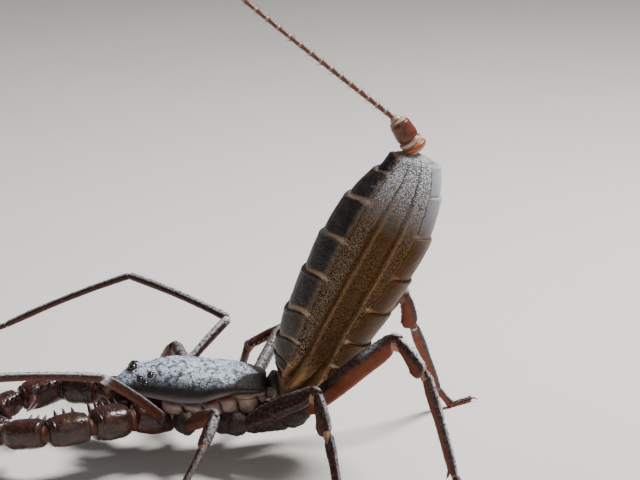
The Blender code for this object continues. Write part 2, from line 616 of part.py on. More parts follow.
def make_foot(name, ankle, heel, toe, start_in, ankle_r, parts, material):
    """Basitarsus and flat-lying telotarsus in one piece, with two claws."""
    down, along = unit(heel - ankle), unit(toe - heel)
    start = ankle + down * start_in
    across = unit(np.cross(np.array([0.0, 0.0, 1.0]), along))
    half = 0.44
    path = np.array([start, start + (heel - start) * 0.5, heel - down * 0.45, heel + along * 0.35,
                     heel + (toe - heel) * 0.55, toe - along * 0.3])
    thick = np.array([ankle_r, 0.42, 0.42, half, half * 0.96, half * 0.88])
    foot = rounded("foot", path, -across, thick, thick, thick, parts, 8, floor=0.0)
    claws = []
    for turn in (-1, 1):
        root = toe - along * 0.3 + across * turn * 0.16 + np.array([0, 0, 0.08])
        tip = toe + along * 1.15 + across * turn * 0.66 + np.array([0, 0, -sole_margin(toe)])
        claws.append(horn("claw", root, tip, (0, 0, 0.3), 0.24, parts, 5, 4, floor=0.02))
    combine(name, foot, claws, "UNION", parts, material, "MANIFOLD")


def sole_margin(toe):
    """How far a claw's tip drops from the toe's middle line to just above the floor."""
    return toe[2] - 0.14


def make_feeler_leg(side, parts, material):
    """The thin first leg, held out in front as a feeler, in four parts."""
    sign = SIDES[side]
    x, y, z = FEMUR_ROOTS[1]
    joints = [place(x, y * sign, z)]
    for length, way in zip(FEELER_LENGTHS, FEELER_POSES[side]):
        joints.append(joints[-1] + length * heading(*way, sign))
    coxa_end = place(COXA_ENDS[1][0], COXA_ENDS[1][1] * sign, COXA_ENDS[1][2])
    before = [coxa_end] + joints[:-1]
    for index, part in enumerate(("femur", "patella", "tibia", "tarsus")):
        start, end = joints[index], joints[index + 1]
        r0, r1 = FEELER_RADII[index], FEELER_RADII[index + 1]
        first = inset(r0, before[index] - start, end - start)
        last = inset(r1, start - end, joints[index + 2] - end) if index < 3 else r1
        across = unit(np.cross(end - start, np.array([0.0, 0.0, 1.0])))
        middle = (r0 + r1) / 2
        shape = [(0, r0, r0, r0), (0.08, r0 * 0.92, r0 * 0.98, r0 * 0.98), (0.5, middle * 0.9, middle, middle),
                 (0.93, r1, r1 * 1.05, r1 * 1.05), (1, r1, r1, r1)]
        limb(f"leg1_{part}_{side}", start, end, across, shape, (first, last), parts, 7, 0.3, material=material)


def core_piece(parts):
    """The body under the carapace, from its blunt front to the pedicel."""
    x = np.array([-17.4, -16.2, -14.0, -11.5, -9.0, -6.5, -4.0, -1.6])
    half_width = np.array([2.0, 2.9, 3.5, 4.0, 4.35, 4.35, 3.8, 2.2])
    _, rim, _ = carapace_row(x)
    top = rim - CARAPACE_LIP - GAP
    middle = np.full_like(x, 7.2)
    drop = np.array([1.4, 2.1, 2.5, 2.6, 2.55, 2.35, 1.9, 1.0])
    path = np.stack([x, np.zeros_like(x), middle], axis=1)
    rings = ellipse_rings(path, np.array([0.0, -1.0, 0.0]), half_width, top - middle, drop, 16, 2.6)
    rings[..., 0] = x[:, None]
    rings += place(0, 0, 0)
    tips = [rings[0].mean(axis=0) - np.array([0.3, 0, 0]), rings[-1].mean(axis=0) + np.array([0.3, 0, 0])]
    return loft("core", rings, tips, parts)


def coxa_pieces(leg, side, parts):
    """Coxa and trochanter of one leg, from the body's side out to the femur's root."""
    sign = SIDES[side]
    start, turn, root = (place(p[0], p[1] * sign, p[2]) for p in (COXA_ROOTS[leg], COXA_ENDS[leg], FEMUR_ROOTS[leg]))
    if leg == 1:
        next_joint = root + heading(*FEELER_POSES[side][0], sign)
        end_r = FEELER_RADII[0]
    else:
        next_joint = walking_leg_joints(leg, side)[1]
        end_r = 0.72 * LEG_DEPTHS[leg]
    thick = COXA_RADII[leg]
    back = inset(end_r, turn - root, next_joint - root)
    end = root + unit(turn - root) * back
    seam = turn + (start - turn) * 0.08
    path = np.array([start, start + (turn - start) * 0.5, seam, turn, turn + (end - turn) * 0.55, end])
    height = np.array([0.8 * thick, thick, 0.86 * thick, 0.72 * thick, 0.8 * thick, end_r])
    width = height * 0.85
    side_way = unit(np.cross(end - start, np.array([0.0, 0.0, 1.0])))
    return [rounded("coxa", path, side_way, width, height, height, parts, 8)]


def palp_point(joint, sign):
    """A pedipalp joint on either side."""
    return place(joint[0], joint[1] * sign, joint[2])


def palp_coxa_pieces(side, parts):
    """The pedipalp's coxa with the blunt process that points forward under the mouth."""
    sign = SIDES[side]
    joint = palp_point(PALP_JOINTS[0], sign)
    root = palp_point(PALP_ROOT, sign)
    back = inset(PALP_RADII[0], root - joint, palp_point(PALP_JOINTS[1], sign) - joint, PALP_BLUNT)
    end = joint + unit(root - joint) * back
    path = np.array([root, root + (end - root) * 0.5, end])
    size = np.array([1.8, 2.0, PALP_RADII[0]])
    side_way = unit(np.cross(end - root, np.array([0.0, 0.0, 1.0])))
    lobe = rounded("palp_coxa", path, side_way, size, size, size, parts, 8, blunt=PALP_BLUNT)
    process = horn("process", place(-16.0, 1.6 * sign, 5.3), place(-20.9, 0.95 * sign, 5.2),
                   (0, 0.15 * sign, -0.1), 0.95, parts, 6, 4)
    return [lobe, process]


def make_underbody(parts, material):
    """Sternum, coxae and trochanters of all limbs, and the pedicel, as one node."""
    body = core_piece(parts)
    waist_path = np.array([place(-3.4, 0, 8.1), place(-1.7, 0, 8.45), place(-0.5, 0, 9.2)])
    waist = rounded("waist", waist_path, np.array([0.0, -1.0, 0.0]), [2.2, 1.6, 0.9], [1.2, 0.85, 0.45],
                    [1.8, 1.4, 0.6], parts, 12)
    pieces = [waist]
    for side in SIDES:
        for leg in FEMUR_ROOTS:
            pieces += coxa_pieces(leg, side, parts)
        pieces += palp_coxa_pieces(side, parts)
    combine("coxae_and_sternum", body, pieces, "UNION", parts, material)


def make_palp(side, parts, material):
    """The five free parts of one pedipalp, with their teeth and spines."""
    sign = SIDES[side]
    joints = [palp_point(joint, sign) for joint in PALP_JOINTS + [PALP_TIP]]
    radii = PALP_RADII
    roots = [palp_point(PALP_ROOT, sign)] + joints
    up = np.array([0.0, 0.0, 1.0])
    for index, (part, (half_width, half_height)) in enumerate(PALP_PARTS.items()):
        start, end, after = joints[index], joints[index + 1], joints[index + 2]
        r0, r1 = radii[index], radii[index + 1]
        insets = (inset(r0, roots[index] - start, end - start, PALP_BLUNT),
                  inset(r1, start - end, after - end, PALP_BLUNT))
        across = unit(np.cross(end - start, up))
        shape = [(0, r0, r0, r0), (0.25, half_width, half_height, half_height),
                 (0.75, half_width, half_height, half_height), (1, r1, r1, r1)]
        body = limb(part, start, end, across, shape, insets, parts, 10, power=2.4, blunt=PALP_BLUNT)
        spines = palp_spines(part, start, end, sign, half_width, half_height, parts)
        combine(f"pedipalp_{part}_{side}", body, spines, "UNION", parts, material)
    make_palp_finger(side, joints, radii, parts, material)


def palp_spines(part, start, end, sign, half_width, half_height, parts):
    """Teeth along the inner upper edge of one pedipalp part, and its long process or fixed finger."""
    axis = unit(end - start)
    inner = unit(np.cross(axis, np.array([0.0, 0.0, 1.0]))) * -sign
    inner = inner if inner[1] * sign < 0 else -inner
    up = np.array([0.0, 0.0, 1.0])
    length = np.linalg.norm(end - start)
    rows = {"trochanter": (5, 0.2, 0.85, 0.95), "femur": (2, 0.35, 0.65, 0.85), "patella": (2, 0.25, 0.5, 0.6),
            "tibia": (2, 0.3, 0.6, 0.5)}
    count, low, high, size = rows[part]
    spines = []
    for share in np.linspace(low, high, count):
        tall = size * (0.8 + 0.35 * math.sin(math.pi * share))
        way = unit(inner * 0.75 + up * 0.65)
        foot = start + axis * length * share + inner * half_width * 0.45 + up * half_height * 0.35
        reach = foot + way * (half_width * 0.62 + tall)
        spines.append(horn("tooth", foot, reach, -axis * 0.05, 0.42, parts, 5, 3))
    if part == "patella":
        foot = start + axis * length * 0.72 + inner * half_width * 0.3
        reach = foot + unit(inner * 0.9 + axis * 0.42) * 5.2
        spines.append(horn("process", foot, reach, axis * -0.45, 0.9, parts, 7, 4))
    if part == "tibia":
        foot = start + axis * length * 0.6 + inner * half_width * 0.3 - up * 0.1
        reach = foot + unit(inner * 0.95 + axis * 0.3) * 3.7
        spines.append(horn("finger", foot, reach, axis * 0.25, 0.85, parts, 7, 4))
    return spines


def make_palp_finger(side, joints, radii, parts, material):
    """The pedipalp's last part: a curved, toothed finger that closes on the tibia's."""
    start, tip = joints[4], joints[5]
    axis = unit(tip - start)
    first = inset(radii[4], joints[3] - start, tip - start)
    across = unit(np.cross(axis, np.array([0.0, 0.0, 1.0])))
    t = np.linspace(0, 1, 6)[:, None]
    outward = np.array([-1.0, 0.0, 0.0])
    low = start + axis * first
    path = low + (tip - low) * t + outward * 0.45 * 4 * t * (1 - t)
    size = radii[4] * (1 - 0.72 * t[:, 0])
    rounded(f"pedipalp_tarsus_{side}", path, across, size, size, size, parts, 8, material=material)


def make_chelicera(side, parts, material):
    """One chelicera: a blunt base under the carapace's front edge and a hooked fang."""
    sign = SIDES[side]
    start, end = (place(p[0], p[1] * sign, p[2]) for p in CHELICERA)
    radius = CHELICERA_RADIUS
    shape = [(0, radius * 0.8, radius * 0.9, radius * 0.9), (0.3, radius, radius * 1.1, radius * 1.1),
             (0.75, radius * 0.95, radius * 1.05, radius * 1.1), (1, radius * 0.7, radius * 0.75, radius * 0.75)]
    across = np.array([0.0, -1.0, 0.0])
    body = limb("base", start, end, across, shape, (radius * 0.9, radius * 0.75), parts, 10)
    fang = horn("fang", end + np.array([0.6, 0, 0.1]), end + np.array([-0.35, -0.25 * sign, -1.7]),
                (-0.45, 0, 0), 0.45, parts, 6, 4)
    combine("chelicera_" + side, body, [fang], "UNION", parts, material)


def main():
    """Build every node."""
    clear_scene()
    parts = bpy.data.collections.new("vinegaroon")
    bpy.context.scene.collection.children.link(parts)
    plate = finish("plate", (0.028, 0.02, 0.018), 0.38)
    flank = finish("flank", (0.12, 0.085, 0.06), 0.5)
    under = finish("coxa", (0.1, 0.05, 0.035), 0.4)
    leg = finish("leg", (0.12, 0.035, 0.02), 0.32)
    eye = finish("eye", (0.01, 0.01, 0.01), 0.08)
    whip = finish("whip", (0.18, 0.055, 0.03), 0.4)
    make_carapace(parts, plate)
    make_eyes(parts, eye)
    make_underbody(parts, under)
    make_abdomen(parts, flank)
    make_pygidium(parts, whip)
    make_flagellum(parts, whip)
    for side in SIDES:
        make_chelicera(side, parts, plate)
        make_palp(side, parts, plate)
        make_feeler_leg(side, parts, leg)
        for number in LEG_LENGTHS:
            make_walking_leg(number, side, parts, {"leg": leg})


main()
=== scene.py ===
"""The looks of a giant vinegaroon (whip scorpion) that threatens with its abdomen raised.

Every shape is a function of two parameters, or a profile carried along a path, worked out with
numpy in millimetres and turned into metres where its mesh is made. The animal faces -X, its left
side is -Y and it stands on z = 0. Places along the body are counted from the pedicel, the narrow
waist between the carapace and the abdomen. Hard plates lie over soft, pale skin, and small grains
and bristles are joined into one mesh for each region.
"""
import math

import bpy
import numpy as np
from bpy.props import FloatProperty, FloatVectorProperty, IntProperty, PointerProperty
from bpy.types import Operator, Panel, PropertyGroup
from mathutils import Matrix


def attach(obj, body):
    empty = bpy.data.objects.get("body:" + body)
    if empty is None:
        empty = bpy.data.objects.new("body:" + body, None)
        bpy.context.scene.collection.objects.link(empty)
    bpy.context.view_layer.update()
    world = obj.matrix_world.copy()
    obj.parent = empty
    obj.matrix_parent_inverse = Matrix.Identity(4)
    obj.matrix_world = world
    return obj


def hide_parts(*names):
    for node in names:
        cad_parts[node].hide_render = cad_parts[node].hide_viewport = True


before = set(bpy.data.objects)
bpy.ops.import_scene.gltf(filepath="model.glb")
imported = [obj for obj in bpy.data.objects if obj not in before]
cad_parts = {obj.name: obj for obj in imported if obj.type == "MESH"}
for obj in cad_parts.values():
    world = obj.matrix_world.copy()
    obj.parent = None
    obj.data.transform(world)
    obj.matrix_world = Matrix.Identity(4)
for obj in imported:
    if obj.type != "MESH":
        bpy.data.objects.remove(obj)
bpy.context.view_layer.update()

bl_info = {
    "name": "Vinegaroon",
    "version": (1, 0, 0),
    "blender": (4, 5, 0),
    "location": "View3D > Sidebar > Vinegaroon",
    "description": "A life-size whip scorpion with plates, grains, soft skin and bristles",
    "category": "Object",
}

MM = 0.001
ORIGIN = np.array([17.87, -1.15, 0.0])         # the pedicel's place over the floor
SIDES = {"left": -1.0, "right": 1.0}
UP = np.array([0.0, 0.0, 1.0])
LEFT = np.array([0.0, -1.0, 0.0])

# meshes: rows and columns of the large ones, and sides of the small things
CARAPACE_GRID = (190, 224)
SKIN_GRID = (320, 272)
PLATE_GRID = (30, 96)
SIDE_SKIN_GRID = (260, 56)
GRAIN_SIDES = 5
BRISTLE_SIDES = 4
BRISTLE_STATIONS = 4
HOOP_GRID = (40, 12)
UNWRAP_REACH = 0.0015                         # half the width of a small thing's patch on the unwrap
TIP_REACH = 0.04                              # how far a limb part's end point stands out of its cap
JITTER = 0.4                                  # how far a grain strays from its net, in shares of the pitch

# carapace: distance behind the pedicel, half width, rim height, height of the dome
CARAPACE_ROWS = [
    (-20.6, 0.9, 10.0, 0.6), (-20.2, 1.9, 9.9, 1.1), (-19.3, 2.6, 9.8, 2.0), (-18.0, 3.0, 9.65, 2.85),
    (-16.2, 3.4, 9.5, 3.5), (-14.0, 4.0, 9.25, 4.25), (-11.5, 4.7, 9.1, 4.5), (-9.0, 5.1, 9.3, 3.9),
    (-6.5, 5.2, 10.1, 2.75), (-4.0, 5.0, 10.5, 1.85), (-2.2, 4.5, 10.4, 1.3), (-1.3, 4.0, 10.4, 0.95),
    (-0.9, 3.5, 10.4, 0.6),
]
CARAPACE_LIP = 0.45
CARAPACE_POWER = 2.3
SIDE_CREASES = (-14.6, -11.4, -8.9, -6.7, -4.5, -1.8, -0.4)   # places of the creases in the skin below it
OCULAR_MOUND = (-18.2, 0.45, 1.0, 1.3)        # place, height, width along and width across
FOVEA = (-7.2, 0.5, 1.6, 0.5)                 # place, depth, width along and width across
FURROWS = ((-0.9, -0.8), (-0.3, 0.2), (0.5, 1.2))   # slant and start of each furrow from the middle pit
FURROW_DEPTH = 0.16
RIM_FADE = (-6.8, -4.6)                       # places between which the rim's pale line fades
MEDIAN_EYE = (-18.2, 0.8, 0.55)               # place behind the pedicel, place aside, radius
LATERAL_EYE = (-16.4, 2.75, 0.36)
LATERAL_EYE_CORNERS = [(-1.0, -0.15), (0.05, 0.5), (1.0, -0.25)]
LATERAL_EYE_SPREAD = 0.67
EYE_SINK = 0.3
HOOP_RADIUS = 1.04                            # ring round an eye and its thickness, in the eye's radii
HOOP_THICKNESS = 0.26

# abdomen: axis points, half depth and half width, from the pedicel to the tip
ABDOMEN_ROWS = [
    (0.3, 9.4, 1.2, 1.2), (1.9, 9.9, 3.2, 2.9), (4.3, 12.0, 4.9, 4.4), (6.0, 15.2, 5.5, 5.3),
    (7.3, 18.4, 5.8, 5.8), (9.8, 23.2, 6.2, 6.2), (12.3, 27.9, 6.4, 6.3), (15.1, 32.9, 5.9, 5.7),
    (17.5, 37.5, 4.2, 4.1), (18.45, 40.5, 2.8, 2.6),
]
SEGMENT_ENDS = [0.9, 2.2, 4.3, 8.2, 12.0, 17.2, 22.4, 28.3, 33.2, 36.4]
BAND = 0.7
TIP_DOME = 0.45                               # height of the dome that closes the abdomen's tip
TIP_ROUNDING = 0.6                            # rounding of the tip's shoulder
PLATE_FRONT = 0.08                            # how high a plate stands over the skin at its front and rear
PLATE_REAR = 0.36
PLATE_UNDER = 0.2                             # how deep its underside lies below the skin
SKIN_SINK = 0.06                              # how far the skin lies inside the solid's outline
FLANK_WIDTH = 9.0                             # mm of skin between back and belly plates where it is widest
# lobes of the folds at the abdomen's base: height, degrees from the middle of the back, half width
BASE_LOBES = ((0.8, 57, 4.5), (1.0, 79, 7), (0.8, 104, 5), (0.6, 118, 6))
# half angle of the plates at lengths along the axis, from the middle of the back and of the belly
TERGITE_ANGLES = [(0, 58), (8, 55), (16, 52), (28, 50), (33, 45), (37, 40)]
STERNITE_ANGLES = [(0, 60), (8, 65), (16, 62), (22, 54), (28, 50), (33, 48), (37, 46)]
BAND_LEAN = 1.0                               # how far a band's ends beside the back plates reach tipwards
BAND_LEAN_ANGLE = 52.0                        # degrees from the middle of the back where it leans most
GROOVES = (74.0, 102.0)                       # degrees from the middle of the back
RIDGE_SHIFT = 5.5                             # degrees from a groove to the ridge beside it
# plates: half angles, middle angle, shares of the band left free in front and behind, and finish
PLATE_KINDS = {"tergite": (TERGITE_ANGLES, 0.0, 0.5, 0.35, "plate"),
               "sternite": (STERNITE_ANGLES, 180.0, 0.12, 0.06, "belly")}
PLATE_CREASE = 50                             # degrees past which a plate's edges are sharp

PYGIDIUM = ((18.42, 0, 41.15), (15.85, 0, 45.3))
# the three tip rings: rows of share of the length and radius
PYGIDIUM_OUTLINE = [
    (0.0, 1.2), (0.08, 1.62), (0.2, 1.6), (0.23, 1.42), (0.27, 1.5), (0.36, 1.47), (0.39, 1.34),
    (0.46, 1.42), (0.7, 1.38), (0.88, 1.25), (0.97, 0.95), (1.0, 0.5),
]
COLLAR_START = (16.0, 0, 44.9)
COLLAR_ROWS = [(0, 0.85), (0.5, 0.78), (0.85, 0.6), (1, 0.44)]
FLAGELLUM_ROOT = (15.35, 0, 45.55)
FLAGELLUM_BEARING = 141.6
FLAGELLUM_LENGTH = 45.0
FLAGELLUM_RADII = (0.39, 0.27)
FLAGELLUM_JOINTS = (1.35, 2.3)
FLAGELLUM_BEND = 3.0
WHORL = 10                                    # bristles round each whip joint
WHIP_BRISTLE_RADIUS = 0.022
LIMB_BRISTLE_RADIUS = 0.02
LOW_BRISTLES = 0.75                           # height in mm below which limb bristles turn upwards

# walking legs: lengths of femur, patella, tibia, basitarsus and telotarsus
LEG_LENGTHS = {2: (9.4, 4.6, 7.2, 2.8, 2.9), 3: (11.6, 5.7, 7.7, 2.9, 3.0), 4: (16.7, 5.8, 13.4, 3.9, 3.8)}
LEG_DEPTHS = {2: 1.15, 3: 1.3, 4: 1.4}
COXA_RADII = {1: 1.25, 2: 1.75, 3: 1.85, 4: 2.15}
ANKLE_HEIGHTS = {2: 2.5, 3: 2.6, 4: 3.3}
SOLE_HEIGHTS = {2: 0.27, 3: 0.27, 4: 0.29}
FEMUR_ROOTS = {1: (-14.3, 5.3, 7.4), 2: (-10.6, 6.9, 6.9), 3: (-3.4, 7.0, 6.9), 4: (4.6, 7.0, 8.9)}
COXA_ROOTS = {1: (-14.6, 2.0, 6.6), 2: (-11.8, 2.0, 6.3), 3: (-7.6, 2.0, 6.3), 4: (-5.0, 2.2, 6.5)}
COXA_ENDS = {1: (-14.3, 3.9, 6.9), 2: (-11.0, 5.2, 6.5), 3: (-4.9, 5.2, 6.5), 4: (1.3, 5.3, 7.4)}
WALKING_POSES = {
    (2, "left"): ((65, 24), (114, -42), 128, 140), (2, "right"): ((110, 22), (121, -38), 131, 140),
    (3, "left"): ((27, 30), (55, -60), 78, 66), (3, "right"): ((66, 29), (154, -30), 130, 150),
    (4, "left"): ((28, 42), (31, -42), 10, 39), (4, "right"): ((13, 40), (44, -66), 62, 40),
}
# rows of share of a part's length, half width, rise and drop, the last three in shares of the leg's depth
FEMUR_ROWS = [
    (0, 0.46, 0.72, 0.72), (0.12, 0.54, 0.93, 0.88), (0.35, 0.62, 1, 1.06), (0.65, 0.62, 1, 1.06),
    (0.86, 0.58, 0.95, 1), (0.95, 0.54, 0.86, 0.84), (1, 0.46, 0.72, 0.58),
]
PATELLA_ROWS = [
    (0, 0.46, 0.64, 0.34), (0.25, 0.52, 0.74, 0.56), (0.6, 0.5, 0.7, 0.86), (0.86, 0.46, 0.64, 1.1),
    (0.94, 0.44, 0.6, 0.96), (1, 0.4, 0.54, 0.5),
]
TIBIA_ROWS = [
    (0, 0.4, 0.5, 0.46), (0.1, 0.42, 0.56, 0.56), (0.5, 0.38, 0.5, 0.5), (0.9, 0.36, 0.48, 0.48),
    (1, 0.33, 0.42, 0.42),
]
BASITARSUS_ROWS = [(0, 0.36, 0.38, 0.38), (0.5, 0.33, 0.34, 0.34), (1, 0.35, 0.38, 0.38)]
TELOTARSUS_ROWS = [(0, 0.85, 1, 1), (0.3, 1, 1, 1), (0.8, 0.92, 1, 1), (1, 0.8, 0.85, 0.85)]
# each hard part: rows, gaps at its ends and slants of its ends in shares of the leg's depth, stations,
# columns, bow, power of its section, bluntness and height of its wrinkles
LEG_PARTS = {
    "femur": (FEMUR_ROWS, (0.42, 0.46), (0.0, 0.3), 190, 84, 0.25, 2.3, 0.5, 0.075),
    "patella": (PATELLA_ROWS, (0.42, 0.4), (-0.45, -0.3), 100, 72, 0.1, 2.2, 0.42, 0.03),
    "tibia": (TIBIA_ROWS, (0.36, 0.28), (-0.3, 0.1), 130, 52, 0.12, 2.1, 0.42, 0.03),
    "basitarsus": (BASITARSUS_ROWS, (0.3, 0.0), (0.0, 0.0), 50, 36, 0.0, 2.0, 0.5, 0.012),
}
LEG_WIDTHS = {2: (1.2, 1.4, 1, 1), 3: (1, 1, 1, 1), 4: (1, 1, 1, 1)}   # factor on each part's half width
LEG_FINENESS = {2: 0.75, 3: 0.75, 4: 1.0}     # factor on the number of stations
TELOTARSUS_GRID = (64, 32)
JOINT_RADII = (0.72, 0.74, 0.62, 0.42)        # hip, knee, shin and ankle, in shares of the leg's depth
CAP_SIZES = {"patella": 1.0, "tibia": 0.72}   # knee caps' sizes, in shares of the leg's depth
CAP_RADII = np.array([0.76, 0.47, 0.58])      # half axes along the bend, across and outwards, times the size
CAP_GRID = (26, 36)
CAP_PAINTED_GLEAM = {"left": 0.6, "right": -0.2}      # share of a cap's height at which its painted highlight begins
KNOB_PLACES = (0.3, 0.46, 0.62, 0.78)         # of the bumps under a patella, in shares of its length
LEG_BRISTLES = (26, 22, 44, 40, 60)           # on femur, patella, tibia, basitarsus and telotarsus
# how dark femur, patella, tibia and foot of each pair of legs are, and the one leg that isn't dark
LEG_DARKNESS = {2: (0.45, 0.1, 0.35, 0.4), 3: (1.0, 0.75, 0.8, 0.7), 4: (0.0, 0.3, 0.3, 0.3)}
ORANGE_LEG = (4, "right")
# how strong the painted highlight along the top of femur, patella, tibia and foot is
LEG_PAINTED_GLEAM = {2: (0.3, 0.4, 0.2, 0.1), 3: (0.3, 0.5, 0.35, 0.15), 4: (0.0, 1.0, 0.7, 0.2)}
FEELER_PARTS = ("femur", "patella", "tibia", "tarsus")
FEELER_LENGTHS = (14.5, 17.0, 21.0, 13.0)
FEELER_RADII = (0.72, 0.6, 0.5, 0.42, 0.27)
HIP_BRISTLES = 26                             # on each coxa and each trochanter
PALP_BRISTLES = (60, 60, 60, 60)
FEELER_BRISTLES = (50, 60, 90, 120)
FEELER_POSES = {
    "left": ((124, 36), (152, 8), (165, -28), (172, -29)),
    "right": ((51, 29), (148, 12), (163, -25), (170, -28)),
}

# pedipalps: joints of one side from its coxa to its tip, and half width and height of each part
PALP_JOINTS = [
    (-18.3, 4.3, 6.8), (-23.2, 7.2, 6.8), (-28.6, 9.4, 6.6), (-34.2, 7.0, 5.6), (-37.6, 3.9, 4.7),
    (-39.2, 0.9, 4.0),
]
PALP_ROOT = (-13.5, 2.0, 6.2)
PALP_RADII = (1.85, 1.8, 1.7, 1.45, 1.1)
PALP_PARTS = {"trochanter": (2.35, 2.15), "femur": (2.05, 2.05), "patella": (2.0, 1.9), "tibia": (1.7, 1.6)}
# teeth on each part's inner edge: count, first and last place in shares of its length, and size
PALP_TEETH = {"trochanter": (5, 0.2, 0.85, 0.95), "femur": (3, 0.3, 0.7, 0.8),
              "patella": (3, 0.2, 0.55, 0.6), "tibia": (3, 0.25, 0.6, 0.5)}
# long processes: place, lift, shares of inner way and axis in their way, length, bow, radius, stations,
# place of the first small tooth, and the small teeth's length and radius
PALP_PROCESSES = {"patella": (0.72, 0.0, (0.9, 0.42), 5.2, -0.45, 0.95, 44, 0.4, 0.75, 0.15),
                  "tibia": (0.6, -0.1, (0.95, 0.3), 3.7, 0.25, 0.9, 40, 0.35, 0.7, 0.14)}
FINGER_BOW = np.array([-0.45, 0, 0])
CHELICERA = ((-18.0, 1.35, 8.0), (-22.6, 1.3, 7.5))
CHELICERA_RADIUS = 1.05
CHELICERA_ROWS = [(0, 0.8, 0.9, 0.9), (0.3, 1, 1.1, 1.1), (0.75, 0.95, 1.05, 1.1), (1, 0.7, 0.75, 0.75)]

# underside: the soft core's place, half width, middle height and drop, then the pedicel and the rest
CORE_ROWS = [
    (-17.4, 2.0, 7.2, 1.4), (-16.2, 2.9, 7.2, 2.1), (-14, 3.5, 7.2, 2.5), (-11.5, 4.0, 7.2, 2.6),
    (-9, 4.35, 7.2, 2.55), (-6.5, 4.35, 7.2, 2.35), (-4, 3.8, 7.2, 1.9), (-1.6, 2.2, 7.2, 1.0),
]
WAIST_PATH = ((-3.4, 0, 8.1), (-1.7, 0, 8.45), (-0.5, 0, 9.2), (0.5, 0, 9.5))
WAIST_ROWS = [(0, 2.2, 1.2, 1.8), (0.45, 1.6, 0.95, 1.4), (0.8, 0.95, 0.6, 0.75), (1, 0.8, 0.5, 0.6)]
COXA_ROWS = [(0, 0.7, 0.8, 0.8), (0.5, 0.86, 1, 1), (1, 0.7, 0.82, 0.82)]
# root and tip of the process in front of a pedipalp's coxa, on the left
PALP_COXA_PROCESS = ((-16.0, 1.6, 5.3), (-20.9, 0.95, 5.2))
PALP_COXA_ROWS = [(0, 1.8), (0.5, 2.1), (1, 1.75)]
STERNUM_PLATES = ((-14.6, 4.62, 1.1, 1.5), (-9.6, 4.58, 0.7, 0.8), (-5.2, 4.95, 0.9, 1.2))

# camera: the point it looks at, its distance, its height over the horizon and its lens
CAMERA_TARGET = (24.02, -1.15, 29.5)
CAMERA_DISTANCE = 300.0
CAMERA_ELEVATION = 15.0
CAMERA_LENS = 131.6
# lamps: place, the point each faces, width and colour, and the colour of the sky
LAMPS = {"key": ((165, 70, 320), (15, 0, 20), 110, (1.0, 0.98, 0.95)),
         "fill": ((140, -350, 220), (10, 0, 20), 300, (1.0, 0.97, 0.94))}
SKY = (0.93, 0.96, 1.0, 1.0)
BACKDROP = (900.0, 260.0, 520.0)              # half width, radius of its curve, distance of the curve


def size_field(name, description, default, low, high):
    """A length in metres that a user may change between two values."""
    return FloatProperty(name=name, description=description, default=default, min=low, max=high,
                         unit="LENGTH", precision=5)


def colour_field(name, description, default):
    """A colour that a user may change."""
    return FloatVectorProperty(name=name, description=description, default=default, subtype="COLOR", size=3,
                               min=0.0, max=1.0)


def light_field(name, description, default):
    """A lamp's power or the sky's strength, which a user may change."""
    return FloatProperty(name=name, description=description, default=default, min=0.0)


class VinegaroonSizes(PropertyGroup):
    """Fine sizes that the solids leave open."""
    grain_pitch: size_field("Flank grain pitch", "Distance between two grains of the flank",
                            0.00024, 0.0002, 0.001)
    grain_radius: size_field("Flank grain radius", "Radius of the largest flank grains",
                             0.000094, 0.00003, 0.0003)
    shield_grain_pitch: size_field("Carapace grain pitch", "Distance between two grains of the carapace",
                                   0.00036, 0.0002, 0.001)
    groove_depth: size_field("Flank groove depth", "Depth of the flank's lengthwise grooves",
                             0.00026, 0.0, 0.001)
    whip_bristle: size_field("Whip bristle", "Length of the whip's longest bristles", 0.0009, 0.0001, 0.003)
    leg_bristle: size_field("Leg bristle", "Length of the legs' longest bristles", 0.0007, 0.0001, 0.003)
    seed: IntProperty(name="Seed", description="Draw that places grains and bristles", default=7, min=0)


class VinegaroonColours(PropertyGroup):
    """Colours of the plates, the skin and the limbs."""
    plate: colour_field("Plate", "Nearly black back plates and carapace", (0.014, 0.010, 0.010))
    plate_brown: colour_field("Plate brown", "Brown clouds and margins of back plates", (0.098, 0.060, 0.042))
    belly: colour_field("Belly plate", "Olive-brown belly plates", (0.070, 0.027, 0.004))
    flank: colour_field("Flank", "Grey-brown skin beside the back plates", (0.370, 0.245, 0.155))
    flank_low: colour_field("Lower flank", "Warmer skin of the lower flank", (0.185, 0.080, 0.011))
    groove: colour_field("Groove", "Amber bottoms of the flank's grooves", (0.165, 0.064, 0.010))
    ridge: colour_field("Ridge", "Pale tan ridges beside the grooves", (0.240, 0.135, 0.055))
    band: colour_field("Band", "Pinkish tan skin between two plates", (0.600, 0.410, 0.280))
    fold: colour_field("Base fold", "Tan-orange folds at the abdomen's base", (0.520, 0.275, 0.110))
    grain: colour_field("Grain", "Black grains of the flank", (0.010, 0.007, 0.006))
    leg_top: colour_field("Leg top", "Nearly black red upper side of the legs", (0.026, 0.009, 0.008))
    leg_flank: colour_field("Leg flank", "Orange-brown side of the legs", (0.165, 0.036, 0.006))
    joint: colour_field("Joint skin", "Pale pinkish skin in the joints", (0.380, 0.235, 0.155))
    coxa: colour_field("Coxa", "Dark coxae and trochanters", (0.020, 0.012, 0.010))
    pleura: colour_field("Side skin", "Grey-pink skin over the coxae", (0.310, 0.215, 0.190))
    # painted highlight: the silvery colour stands for the light's sheen on the carapace's top
    shield: colour_field("Shield top", "Silvery grey bloom on the carapace's top", (0.580, 0.680, 0.850))
    palp: colour_field("Pedipalp", "Black-red pedipalps", (0.020, 0.009, 0.008))
    whip: colour_field("Whip", "Red-brown whip and tip rings", (0.170, 0.040, 0.018))
    whip_ring: colour_field("Whip ring", "Cream ends of the whip's joints", (0.560, 0.420, 0.320))
    eye: colour_field("Eye", "Nearly black eyes", (0.004, 0.003, 0.003))
    claw: colour_field("Claw root", "Dark red roots of claws and fangs", (0.070, 0.020, 0.010))
    bristle: colour_field("Bristle", "Red-brown bristles", (0.110, 0.038, 0.018))
    floor: colour_field("Floor", "Pale floor and backdrop", (0.800, 0.780, 0.750))


